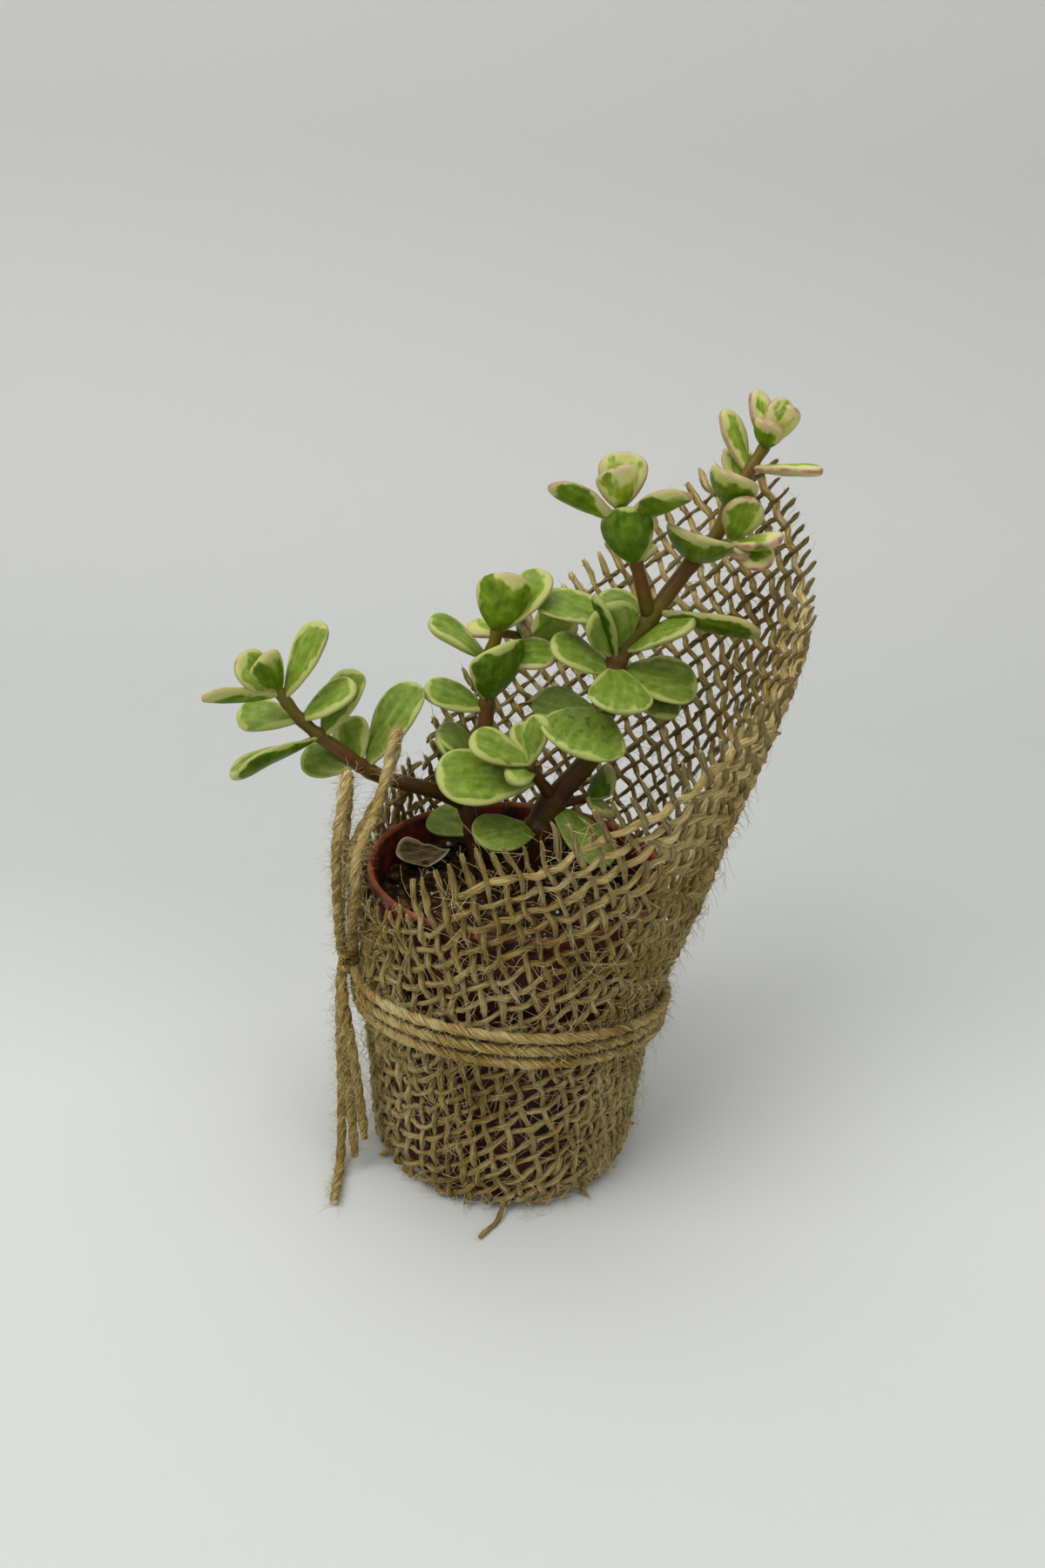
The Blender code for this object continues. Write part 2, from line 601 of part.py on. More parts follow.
def sheet_radius(roll, height):
    """Distance of the sheet from the pot's axis, in millimetres."""
    hug = between(HUG_RADII, height)
    lean = FLARE_MEAN + FLARE_SWING * math.cos(math.radians(ROLL_START_HEADING - roll - FLARE_HEADING))
    rise = max(height - FLARE_FROM, 0)
    rise = rise * rise / (2 * FLARE_BLEND) if rise < FLARE_BLEND else rise - FLARE_BLEND / 2
    lap = LAP_OFFSET * smooth_step((roll - LAP_FROM_ROLL) / (LAP_TO_ROLL - LAP_FROM_ROLL))
    return hug + max(lean, 0) * rise + lap


def round_place(heading, radius, height):
    """A point in metres from a heading in degrees and a radius and height in millimetres."""
    angle = math.radians(heading)
    return Vector((radius * math.cos(angle), radius * math.sin(angle), height)) * MM


def add_burlap(parts):
    """The wrap: a flat grid rolled into the cornet and given its thickness."""
    shape = bmesh.new()
    rows = len(SHEET_LOW_ROWS) - 1 + SHEET_HIGH_ROWS
    bmesh.ops.create_grid(shape, x_segments=SHEET_COLUMNS, y_segments=rows, size=0.5)
    to_corner = round(SHEET_COLUMNS * CORNER_ROLL / ROLL_END) / SHEET_COLUMNS
    for vert in shape.verts:
        along = vert.co.x + 0.5
        start = START_TOP_ROLL
        if along <= to_corner:
            part = along / to_corner
            roll = start + (CORNER_ROLL - start) * part
        else:
            part = 1
            roll = CORNER_ROLL + (ROLL_END - CORNER_ROLL) * (along - to_corner) / (1 - to_corner)
        top = top_edge(roll)
        row = round((vert.co.y + 0.5) * rows)
        if row < len(SHEET_LOW_ROWS):
            height = SHEET_LOW_ROWS[row]
        else:
            left = (rows - row) / SHEET_HIGH_ROWS
            height = top - (top - SHEET_LOW_ROWS[-1]) * left
        roll -= (1 - part) * (START_TOP_HEIGHT - height) * ROLL_START_SLANT
        vert.co = round_place(ROLL_START_HEADING - roll, sheet_radius(roll, height), height)
    bmesh.ops.recalc_face_normals(shape, faces=shape.faces)
    burlap = add_object("burlap_wrap", shape, parts, finish("jute", 0.9))
    wall = burlap.modifiers.new("wall", "SOLIDIFY")
    wall.thickness = SHEET_THICKNESS
    wall.offset = 0
    wall.use_even_offset = True
    return burlap


def outer_radius(heading, height):
    """The outside of the wrap at a heading, in millimetres, eased over the end of the lap."""
    roll = (ROLL_START_HEADING - heading) % 360
    radius = sheet_radius(roll, height)
    past_end = roll + 360 - ROLL_END
    if roll < LAP_FROM_ROLL:
        radius += LAP_OFFSET * (1 - smooth_step((past_end - LAP_EASE_FROM) / LAP_EASE))
    return radius + SHEET_THICKNESS / MM / 2


def turn_point(angle):
    """Centre of the twine after going an angle round the waist from the knot."""
    heading = KNOT_HEADING + angle
    front = -math.sin(math.radians(heading))
    pitch = TWINE_PITCH + TWINE_PITCH_SWING * front
    height = TWINE_MIDDLE_HEIGHT + TWINE_TILT * front + (TWINE_TURNS / 2 - angle / 360) * pitch
    height += KNOT_LIFT * (1 - smooth_step(angle / KNOT_LIFT_ANGLE))
    crossing = (angle - CROSS_FROM) / (360 * TWINE_TURNS - TURN_END_ANGLE - CROSS_FROM)
    height += CROSS_CLIMB * smooth_step(crossing)
    radius = outer_radius(heading, height) + (TWINE_RADIUS + TURN_CLEARANCE) / MM
    over = smooth_step(crossing / CROSS_EASE) - smooth_step((crossing - 1 + CROSS_EASE) / CROSS_EASE)
    radius += over * CROSS_OFFSET
    return round_place(heading, radius, height)


def add_twine_turns(parts, surface):
    """Three turns of twine round the waist, whose end crosses over them to the knot."""
    first = TURN_END_ANGLE
    last = 360 * TWINE_TURNS - TURN_END_ANGLE
    count = TWINE_TURNS * TWINE_POINTS_PER_TURN
    path = [turn_point(first + (last - first) * step / count) for step in range(count + 1)]
    step = path_length(path) / count
    tube = add_tube("turns", path, step, lambda part: TWINE_RADIUS, parts)
    solid = as_mesh_object(tube)
    solid.name = "twine_turns"
    solid.data.materials.append(surface)
    return solid


def add_knot(parts, surface):
    """The knot of the bow: bands of twine over a tight core."""
    bands = new_collection("knot_bands")
    radius = outer_radius(KNOT_HEADING, KNOT_TOP) + (CLEARANCE + KNOT_BAND + TWINE_RADIUS) / MM
    place = Matrix.Translation(round_place(KNOT_HEADING, radius, KNOT_HEIGHT))
    place = place @ Matrix.Rotation(math.radians(KNOT_HEADING), 4, "Z")
    core = bmesh.new()
    squash = Matrix.Diagonal((KNOT_BAND, KNOT_BAND + TWINE_RADIUS, 2 * TWINE_RADIUS, 1))
    bmesh.ops.create_uvsphere(core, u_segments=KNOT_SEGMENTS, v_segments=KNOT_SIDES, radius=1,
                              matrix=place @ squash)
    knot = add_object("knot", core, parts, surface)
    for index, (tilt, shift) in enumerate(KNOT_BANDS):
        bpy.ops.mesh.primitive_torus_add(major_segments=KNOT_SEGMENTS, minor_segments=KNOT_SIDES,
                                         major_radius=KNOT_BAND, minor_radius=TWINE_RADIUS)
        band = bpy.context.object
        band.name = f"knot_band_{index}"
        shifted = place @ Matrix.Translation((0, 0, shift * MM))
        band.matrix_world = shifted @ Matrix.Rotation(math.radians(tilt), 4, "X")
        for owner in list(band.users_collection):
            owner.objects.unlink(band)
        bands.objects.link(band)
    add_boolean(knot, bands, "UNION")
    knot.data = evaluated_mesh(knot)
    knot.modifiers.clear()
    for band in list(bands.objects):
        bpy.data.objects.remove(band, do_unlink=True)
    bpy.data.collections.remove(bands)
    return knot


def add_bow(parts, surface):
    """The bow's loops and tails, each a free length of twine."""
    for name, route in BOW_ROUTES.items():
        tube = add_tube(name + "_route", smooth_path(route), BOW_STEP, lambda part: TWINE_RADIUS, parts)
        solid = as_mesh_object(tube)
        solid.name = name
        solid.data.materials.append(surface)


clear_scene()
parts = new_collection("potted_elephant_bush")
cutters = new_collection("cutters")
green = finish("leaf", 0.4)
twine = finish("twine", 0.85)
add_pot(parts, cutters)
add_soil(parts, cutters)
add_leafy_stem("stem_right", RIGHT_ROUTES, RIGHT_RADII, RIGHT_LEAVES, parts, green)
add_leafy_stem("stem_left", LEFT_ROUTES, LEFT_RADII, LEFT_LEAVES, parts, green)
add_dry_leaf(parts)
add_burlap(parts)
add_twine_turns(parts, twine)
add_knot(parts, twine)
add_bow(parts, twine)
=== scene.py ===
"""A potted elephant bush: a young variegated plant of two stems in a small nursery pot, rolled in
open burlap like a cornet and tied with jute twine in a bow. Lengths in tables are millimetres.
"""

import math
import random

import bmesh
import bpy
from mathutils import Matrix, Vector, noise


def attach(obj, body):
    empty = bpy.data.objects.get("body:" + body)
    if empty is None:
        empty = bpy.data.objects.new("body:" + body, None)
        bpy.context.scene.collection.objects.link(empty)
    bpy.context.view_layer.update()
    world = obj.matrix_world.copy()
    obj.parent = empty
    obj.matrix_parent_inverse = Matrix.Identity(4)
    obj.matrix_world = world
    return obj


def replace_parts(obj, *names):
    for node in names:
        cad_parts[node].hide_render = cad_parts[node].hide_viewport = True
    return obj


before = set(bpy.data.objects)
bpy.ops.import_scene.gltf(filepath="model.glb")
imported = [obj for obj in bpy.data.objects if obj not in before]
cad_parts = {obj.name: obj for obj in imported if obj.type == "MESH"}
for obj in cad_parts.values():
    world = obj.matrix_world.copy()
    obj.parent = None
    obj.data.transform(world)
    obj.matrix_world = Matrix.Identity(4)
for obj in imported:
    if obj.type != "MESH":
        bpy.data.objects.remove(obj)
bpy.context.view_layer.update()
MM = 0.001
scene = bpy.context.scene

# The camera. It stands where the photograph was taken from, a little above the plant and
# looking down at it, held slightly askew.
LENS = 26
CAMERA_PLACE = (-0.0001, -0.1892, 0.1566)
CAMERA_DOWN = 23.1
CAMERA_TILT = 3.7

camera_data = bpy.data.cameras.new("camera")
camera_data.lens = LENS
camera_data.clip_start = 0.01
camera = bpy.data.objects.new("camera", camera_data)
scene.collection.objects.link(camera)
pitched = Matrix.Translation(CAMERA_PLACE) @ Matrix.Rotation(math.radians(90 - CAMERA_DOWN), 4, "X")
camera.matrix_world = pitched @ Matrix.Rotation(math.radians(CAMERA_TILT), 4, "Z")
scene.camera = camera


# The bow's loops and tails. Jute twine of two plies, 2 mm thick, tied once at the left: two
# loops stand up against the wrap, and three tails hang. Each free length is laid along its route.
TWINE_RADIUS = 1.0
PLY_OFFSET = 0.27
PLY_RADIUS = 0.75
PLY_SIDES = 16
TWIST_PITCH = 7.5
TWINE_STEP = 0.75
THIN_END_LENGTH = 5
THIN_END_LOSS = 0.35
PATH_FINENESS = 12
BOW_HAIRS_PER_MM = 15
CUT_END_FIBRES = 26
HAIR_ROOT_RADIUS = 0.7
HAIR_REACH = 2.2
# Where the cloth stands free its fibres are shorter and lie closer, by these shares
FREE_CLOTH_HEIGHT = 80
FREE_HAIR_LENGTH = 0.75
FREE_HAIR_REACH = 0.25
BOW_ROUTES = {
    "bow_loop_outer": [(-32.1, -7.0, 43.2), (-32.2, -8.6, 50), (-32.3, -9.9, 58), (-32.2, -9.9, 67),
                       (-31.4, -8.4, 74), (-31.2, -5.3, 77.6), (-31.4, -2.2, 74.4),
                       (-32.0, -1.2, 67), (-32.6, -1.8, 58), (-32.8, -3.0, 50), (-32.4, -4.4, 43.2)],
    "bow_loop_inner": [(-29.7, -6.7, 43.2), (-29.4, -10.0, 50), (-28.3, -12.6, 57),
                       (-28.4, -11.8, 64.5), (-25.6, -6.8, 72.5), (-24.4, -3.4, 78),
                       (-23.7, -2.4, 82.6), (-23.2, -0.4, 84.6), (-23.2, 1.5, 82.6),
                       (-23.9, 1.7, 78), (-25.8, -1.4, 72.5), (-29.8, -8.6, 64.5), (-29.7, -8.9, 57),
                       (-30.3, -6.0, 50), (-30.2, -4.1, 43.2)],
    "bow_tail_long": [(-32.4, -4.6, 37.1), (-32.6, -5.2, 31), (-32.3, -6.8, 22), (-31.6, -9.4, 13),
                      (-31.0, -13.0, 5.5), (-30.6, -16.8, 2.0), (-30.3, -21.0, 1.3), (-30.0, -27.5, 1.3)],
    "bow_tail_middle": [(-31.9, -7.4, 37.1), (-31.4, -9.2, 32), (-30.2, -11.8, 23),
                        (-28.9, -14.6, 12.5), (-27.7, -17.4, 3.2)],
    "bow_tail_short": [(-31.6, -9.0, 38.8), (-30.6, -11.8, 34), (-28.9, -14.3, 27),
                       (-27.1, -16.4, 17), (-25.8, -17.8, 8)],
}
BOW_ENDS = {"bow_loop_outer": "knot", "bow_loop_inner": "knot", "bow_tail_long": "bare",
            "bow_tail_middle": "bare", "bow_tail_short": "bare"}
chance = random.Random(11)
noise.seed_set(11)


def colour(code):
    """A linear colour from an sRGB hex code."""
    parts = [int(code[at:at + 2], 16) / 255 for at in (1, 3, 5)]
    linear = [part / 12.92 if part <= 0.04045 else ((part + 0.055) / 1.055) ** 2.4 for part in parts]
    return (*linear, 1)


def fill_inputs(tree, node, inputs):
    """Link a node's inputs to other nodes' outputs, or set them to plain values."""
    for socket, value in inputs.items():
        if isinstance(value, bpy.types.NodeSocket):
            tree.links.new(value, node.inputs[socket])
        else:
            node.inputs[socket].default_value = value


def add_node(tree, kind, inputs=None, give=0, stops=(), **settings):
    """Add a shader node with its settings, links and ramp stops, and give back one output."""
    node = tree.nodes.new(kind)
    for key, value in settings.items():
        setattr(node, key, value)
    fill_inputs(tree, node, inputs or {})
    for _ in stops[2:]:
        node.color_ramp.elements.new(1)
    for index, (place, code) in enumerate(stops):
        node.color_ramp.elements[index].position = place
        node.color_ramp.elements[index].color = colour(code)
    return node.outputs[give]


def new_finish(name):
    """A material with an empty Principled shader, and its node tree."""
    made = bpy.data.materials.new(name)
    made.use_nodes = True
    return made, made.node_tree, made.node_tree.nodes["Principled BSDF"]


def curve_point(points, place):
    """The point at a place, counted in points, on the smooth curve through them all."""
    first = min(int(place), len(points) - 2)
    part = place - first
    before = points[max(first - 1, 0)]
    start = points[first]
    end = points[first + 1]
    after = points[min(first + 2, len(points) - 1)]
    slope = end - before
    bow = 2 * before - 5 * start + 4 * end - after
    twist = 3 * start - before - 3 * end + after
    return start + 0.5 * (slope * part + bow * part ** 2 + twist * part ** 3)


def smooth_path(route):
    """Many close points on a smooth curve through a route, in millimetres."""
    points = [Vector(place) for place in route]
    count = (len(points) - 1) * PATH_FINENESS
    return [curve_point(points, step / PATH_FINENESS) for step in range(count + 1)]


def path_length(path):
    """Length along a path."""
    return sum((end - start).length for start, end in zip(path, path[1:]))


def walk(path, distance):
    """The point at a distance along a path, and the direction there."""
    left = distance
    for start, end in zip(path, path[1:]):
        step = (end - start).length
        if left <= step:
            return start.lerp(end, left / step), (end - start).normalized()
        left -= step
    return path[-1].copy(), (path[-1] - path[-2]).normalized()


def new_curve(name):
    """An empty curve for tubes along straight-sided lines, with closed ends."""
    data = bpy.data.curves.new(name, "CURVE")
    data.dimensions = "3D"
    data.use_fill_caps = True
    return data


def add_line(data, points, radii, tilts=None, cyclic=False):
    """Add one line of a curve from points in millimetres."""
    spline = data.splines.new("POLY")
    spline.points.add(len(points) - 1)
    spline.use_cyclic_u = cyclic
    for index, (point, place) in enumerate(zip(spline.points, points)):
        point.co = (*(Vector(place) * MM), 1)
        point.radius = radii[index]
        point.tilt = tilts[index] if tilts else 0


def add_tubes(shape, data):
    """Add the tubes of a curve to a bmesh, and give back their points."""
    line = bpy.data.objects.new("line", data)
    scene.collection.objects.link(line)
    mesh = bpy.data.meshes.new_from_object(line.evaluated_get(bpy.context.evaluated_depsgraph_get()))
    bpy.data.objects.remove(line, do_unlink=True)
    old_count = len(shape.verts)
    shape.from_mesh(mesh)
    shape.verts.ensure_lookup_table()
    return shape.verts[old_count:]


def as_piece(name, data, surface):
    """Turn a curve into a finished mesh piece with its caps joined to its walls."""
    shape = bmesh.new()
    add_tubes(shape, data)
    bmesh.ops.remove_doubles(shape, verts=shape.verts, dist=0.001 * MM)
    return add_piece(name, shape, surface)


def add_piece(name, shape, surface, sharp=180):
    """Make a bmesh a finished piece of the one body, shaded smooth up to a sharp angle."""
    mesh = bpy.data.meshes.new(name)
    shape.to_mesh(mesh)
    shape.free()
    mesh.materials.append(surface)
    mesh.shade_smooth()
    if sharp < 180:
        mesh.set_sharp_from_angle(angle=math.radians(sharp))
    piece = bpy.data.objects.new(name, mesh)
    scene.collection.objects.link(piece)
    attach(piece, "root")
    return piece


def lay_twine(name, path, surface, closed=False, thin_end=False):
    """One length of two-ply twine along a path: a two-lobed section that turns as it goes."""
    section = new_curve(name + "_section")
    lobes = []
    for side in range(PLY_SIDES):
        angle = math.tau * side / PLY_SIDES
        across, over = math.cos(angle), math.sin(angle)
        reach = PLY_OFFSET * abs(across) + math.sqrt(PLY_RADIUS ** 2 - (PLY_OFFSET * over) ** 2)
        lobes.append((reach * across, reach * over, 0))
    add_line(section, lobes, [1] * PLY_SIDES, cyclic=True)
    section_line = bpy.data.objects.new(name + "_section", section)
    scene.collection.objects.link(section_line)
    data = new_curve(name)
    data.bevel_mode = "OBJECT"
    data.bevel_object = section_line
    length = path_length(path)
    count = round(length / TWINE_STEP)
    half_turns = round(2 * length / TWIST_PITCH)
    offset = chance.uniform(0, 100)
    stations = range(count) if closed else range(count + 1)
    points = [walk(path, length * step / count)[0] for step in stations]
    radii = [1 + 0.07 * noise.noise((step * 0.21, offset, 0)) for step in stations]
    if thin_end:
        for step in stations:
            radii[step] *= 1 - THIN_END_LOSS * max(0, 1 - (count - step) * TWINE_STEP / THIN_END_LENGTH) ** 2
    tilts = [math.pi * half_turns * step / count for step in stations]
    add_line(data, points, radii, tilts, closed)
    piece = as_piece(name, data, surface)
    bpy.data.objects.remove(section_line, do_unlink=True)
    return piece


def add_hairs(name, roots, length, thickness, stand, steps=3):
    """Loose fibres of a yarn, which curl and end up no further out than HAIR_REACH.

    A root is (place, outward, along), in millimetres, and stand is how steeply the fibres leave
    the yarn. Length and thickness are in millimetres too.
    """
    data = new_curve(name)
    data.bevel_depth = thickness * MM / 2
    data.bevel_resolution = 0
    for place, outward, along in roots:
        free = place.z > FREE_CLOTH_HEIGHT
        reach = HAIR_REACH * (FREE_HAIR_REACH if free else 1)
        away = Vector((place.x, place.y, 0)).normalized() if free else outward
        side = outward.cross(along)
        heading = outward * chance.uniform(0.1, stand) + along * chance.gauss(0, 0.7)
        heading += side * chance.gauss(0, 0.7)
        heading.normalize()
        bend = Vector((chance.uniform(-1, 1), chance.uniform(-1, 1), chance.uniform(-1, 0.6))) * 0.5
        step = length * chance.uniform(0.3, 1.3) ** 2 / steps * (FREE_HAIR_LENGTH if free else 1)
        points = [place.copy()]
        for _ in range(steps):
            spot = points[-1] + heading * step
            spot -= away * max((spot - place).dot(away) - reach, 0)
            spot.z = max(spot.z, 0.1)
            points.append(spot)
            heading = (heading + bend).normalized()
        add_line(data, points, [1 - 0.6 * at / steps for at in range(steps + 1)])
    return as_piece(name, data, fibre)


def random_vector():
    """A vector in a random direction, about 1 long each way."""
    return Vector((chance.gauss(0, 1), chance.gauss(0, 1), chance.gauss(0, 1)))


def hair_roots(path, count):
    """Roots for fibres at random round a length of twine."""
    length = path_length(path)
    roots = []
    for _ in range(count):
        place, along = walk(path, chance.uniform(0, length))
        side = random_vector()
        outward = (side - along * side.dot(along)).normalized()
        roots.append((place + outward * HAIR_ROOT_RADIUS, outward, along))
    return roots


# A Mix of colours takes its share at socket 0 and the colours at 6 and 7, and gives socket 2. A Map
# Range takes its value at 0, the range it comes from at 1 and 2, and the one it goes to at 3 and 4.
COLOUR_MIX = {"give": 2, "data_type": "RGBA"}

# Jute is a dull straw brown. Its fibres run along the yarn as dark and light streaks, about 0.3 mm
# wide and 3 mm long, drawn as a pattern that goes round the yarn and drifts slowly along it. Where
# the burlap stands free it is painted paler, as light shining through, and its warp darker, as shade.
jute, tree, shader = new_finish("spun_jute")
place = add_node(tree, "ShaderNodeTexCoord", give="Object")
yarn_map = add_node(tree, "ShaderNodeUVMap", give="UV")
part_round = add_node(tree, "ShaderNodeSeparateXYZ", {0: yarn_map}, give="Y")
turn = add_node(tree, "ShaderNodeMath", {0: part_round, 1: math.tau}, operation="MULTIPLY")
across = add_node(tree, "ShaderNodeMath", {0: turn}, operation="COSINE")
over = add_node(tree, "ShaderNodeMath", {0: turn}, operation="SINE")
ring = add_node(tree, "ShaderNodeCombineXYZ", {"X": across, "Y": over})
ring = add_node(tree, "ShaderNodeVectorMath", {0: ring, "Scale": 3.2}, operation="SCALE")
drift = add_node(tree, "ShaderNodeVectorMath", {0: place, "Scale": 330}, operation="SCALE")
fibre_place = add_node(tree, "ShaderNodeVectorMath", {0: ring, 1: drift}, operation="ADD")
fibres = add_node(tree, "ShaderNodeTexNoise",
                  {"Vector": fibre_place, "Scale": 1, "Detail": 4, "Roughness": 0.65})
broad = add_node(tree, "ShaderNodeTexNoise", {"Vector": place, "Scale": 85, "Detail": 3})
mixed = add_node(tree, "ShaderNodeMath", {0: broad, 1: 0.45, 2: fibres}, operation="MULTIPLY_ADD")
straw = add_node(tree, "ShaderNodeValToRGB", {"Fac": mixed},
                 stops=[(0.54, "#563B11"), (0.70, "#967932"), (0.88, "#D0BC88")])
# Painted light: a paler copy of the straw for where the sheet stands free and light comes through.
lit_straw = add_node(tree, "ShaderNodeValToRGB", {"Fac": mixed},
                     stops=[(0.54, "#6E531E"), (0.70, "#B39652"), (0.88, "#E9D69C")])
height = add_node(tree, "ShaderNodeSeparateXYZ", {0: place}, give="Z")
lit = add_node(tree, "ShaderNodeMapRange", {0: height, 1: 60 * MM, 2: 80 * MM})
straw = add_node(tree, "ShaderNodeMix", {0: lit, 6: straw, 7: lit_straw}, **COLOUR_MIX)
warp = add_node(tree, "ShaderNodeAttribute", give="Fac", attribute_name="warp")
# Painted shade: the warp is darkened where the sheet stands free.
free = add_node(tree, "ShaderNodeMapRange", {0: height, 1: 58 * MM, 2: 82 * MM, 3: 0.0, 4: 0.5})
in_shade = add_node(tree, "ShaderNodeMath", {0: warp, 1: free}, operation="MULTIPLY")
straw = add_node(tree, "ShaderNodeMix", {0: in_shade, 6: straw, 7: colour("#3C2B0C")}, **COLOUR_MIX)
bump = add_node(tree, "ShaderNodeBump", {"Height": fibres, "Strength": 0.9, "Distance": 0.0004})
fill_inputs(tree, shader, {"Base Color": straw, "Normal": bump, "Roughness": 0.62,
                           "Specular IOR Level": 0.15, "Sheen Weight": 0.04, "Sheen Roughness": 0.5})

# A single fibre that stands off the yarn is painted paler, for the light that comes through it. It is
# drawn up to 0.1 mm thick, coarser than the real ones, so that it shows.
fibre, tree, shader = new_finish("loose_jute_fibre")
place = add_node(tree, "ShaderNodeTexCoord", give="Object")
tone = add_node(tree, "ShaderNodeTexNoise", {"Vector": place, "Scale": 260, "Detail": 2})
pale = add_node(tree, "ShaderNodeValToRGB", {"Fac": tone}, stops=[(0.35, "#9A8650"), (0.65, "#DACB98")])
fill_inputs(tree, shader, {"Base Color": pale, "Roughness": 0.6, "Specular IOR Level": 0.2})

for name, route in BOW_ROUTES.items():
    path = smooth_path(route)
    length = path_length(path)
    tail = BOW_ENDS[name] == "bare"
    piece = lay_twine(name + "_yarn", path, jute, thin_end=tail)
    roots = hair_roots(path, round(length * BOW_HAIRS_PER_MM))
    if tail:
        end, along = walk(path, length)
        for _ in range(CUT_END_FIBRES):
            side = random_vector() * 0.3
            roots.append((end - along * 1.5 + side, along * 2.5 + side, along * 0.01))
    hairs = add_hairs(name + "_fibres", roots, 2.4, 0.08, 0.8)
    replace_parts(piece, name)


# The nursery pot. Injection-moulded polypropylene, about 1 mm thick, with a small rolled lip and
# four drain holes: its section is turned round the axis and the holes are drilled.
POT_SIDES = 96
POT_PROFILE = [(0, 1.1), (19.8, 1.1), (21.2, 2.0), (25.9, 57), (26.9, 59.2), (27.1, 59.8), (27.4, 60),
               (27.7, 59.9), (27.95, 59.6), (28, 59.2), (28, 57.5), (27.7, 57.05), (27.1, 57), (22.6, 0.8),
               (22.3, 0.2), (21.8, 0), (0, 0)]
DRAIN_HOLES = 4
DRAIN_HOLE_RADIUS = 2.2
DRAIN_HOLE_CIRCLE = 13
DRILL_LENGTH = 6


def spin_profile(profile, sides):
    """A closed body turned from a profile of (radius, height) pairs, in millimetres."""
    shape = bmesh.new()
    ring = [shape.verts.new((radius * MM, 0, height * MM)) for radius, height in profile]
    edges = [shape.edges.new(pair) for pair in zip(ring, ring[1:])]
    bmesh.ops.spin(shape, geom=ring + edges, cent=(0, 0, 0), axis=(0, 0, 1), angle=math.tau,
                   steps=sides, use_merge=True)
    bmesh.ops.remove_doubles(shape, verts=shape.verts, dist=0.01 * MM)
    bmesh.ops.recalc_face_normals(shape, faces=shape.faces)
    return shape


# Polypropylene has a soft satin gloss. Below the lip the pot is painted dark red as shade, in clouds
# about 4 mm wide with 1 mm specks of salt, and the clean lip has peat dust in patches of 8 mm. Its
# moulded grain, 0.4 mm wide, is only a faint bump.
terracotta, tree, shader = new_finish("moulded_polypropylene")
place = add_node(tree, "ShaderNodeTexCoord", give="Object")
height = add_node(tree, "ShaderNodeSeparateXYZ", {0: place}, give="Z")
cloud = add_node(tree, "ShaderNodeTexNoise", {"Vector": place, "Scale": 240, "Detail": 5})
clean = add_node(tree, "ShaderNodeValToRGB", {"Fac": cloud}, stops=[(0.35, "#8B4423"), (0.65, "#A65A30")])
# Painted shade: the wall below the lip is dark red, with pale specks of salt.
shaded_wall = add_node(tree, "ShaderNodeValToRGB", {"Fac": cloud},
                   stops=[(0.38, "#250806"), (0.5, "#50160B"), (0.62, "#692212")])
salts = add_node(tree, "ShaderNodeTexNoise", {"Vector": place, "Scale": 800, "Detail": 2})
salty = add_node(tree, "ShaderNodeMapRange", {0: salts, 1: 0.68, 2: 0.74, 3: 0.0, 4: 0.6})
shaded_wall = add_node(tree, "ShaderNodeMix", {0: salty, 6: shaded_wall, 7: colour("#8C7C68")}, **COLOUR_MIX)
dust = add_node(tree, "ShaderNodeTexNoise", {"Vector": place, "Scale": 130, "Detail": 4})
dusty = add_node(tree, "ShaderNodeMapRange", {0: dust, 1: 0.44, 2: 0.54, 3: 0.0, 4: 0.75})
clean = add_node(tree, "ShaderNodeMix", {0: dusty, 6: clean, 7: colour("#4A2412")}, **COLOUR_MIX)
# The lip keeps its own colour, and everything below it takes the painted shade.
lip = add_node(tree, "ShaderNodeMapRange", {0: height, 1: 58.9 * MM, 2: 59.5 * MM})
brick = add_node(tree, "ShaderNodeMix", {0: lip, 6: shaded_wall, 7: clean}, **COLOUR_MIX)
grain = add_node(tree, "ShaderNodeTexNoise", {"Vector": place, "Scale": 2500})
bump = add_node(tree, "ShaderNodeBump", {"Height": grain, "Strength": 0.15, "Distance": 0.0001})
fill_inputs(tree, shader, {"Base Color": brick, "Normal": bump, "Roughness": 0.5,
                           "Specular IOR Level": 0.3})

pot = add_piece("nursery_pot", spin_profile(POT_PROFILE, POT_SIDES), terracotta, sharp=40)
for index in range(DRAIN_HOLES):
    angle = math.tau * (index + 0.5) / DRAIN_HOLES
    drill = bmesh.new()
    centre = Vector((math.cos(angle), math.sin(angle), 0)) * DRAIN_HOLE_CIRCLE * MM
    bmesh.ops.create_cone(drill, cap_ends=True, segments=32, radius1=DRAIN_HOLE_RADIUS * MM,
                          radius2=DRAIN_HOLE_RADIUS * MM, depth=DRILL_LENGTH * MM,
                          matrix=Matrix.Translation(centre))
    mesh = bpy.data.meshes.new("drill")
    drill.to_mesh(mesh)
    drill.free()
    cutter = bpy.data.objects.new("drill", mesh)
    scene.collection.objects.link(cutter)
    cut = pot.modifiers.new("drain", "BOOLEAN")
    cut.object = cutter
    pot.data = bpy.data.meshes.new_from_object(pot.evaluated_get(bpy.context.evaluated_depsgraph_get()))
    pot.modifiers.clear()
    bpy.data.objects.remove(cutter, do_unlink=True)
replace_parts(pot, "pot")


# The peat. A dark crumbly plug that fills the pot to 6 mm below its lip, with loose crumbs and a
# few white grains of perlite on top. The surface is raised by noise and the crumbs are scattered.
SOIL_TOP = 54
SOIL_RADIUS = 25.3
SOIL_UNDERSIDE = [(25.1, 52), (21.5, 4), (19, 1.5), (0, 1.5)]
SOIL_RINGS = 30
SOIL_SIDES = 96
CRUMBS = 420
PERLITE_GRAINS = 110

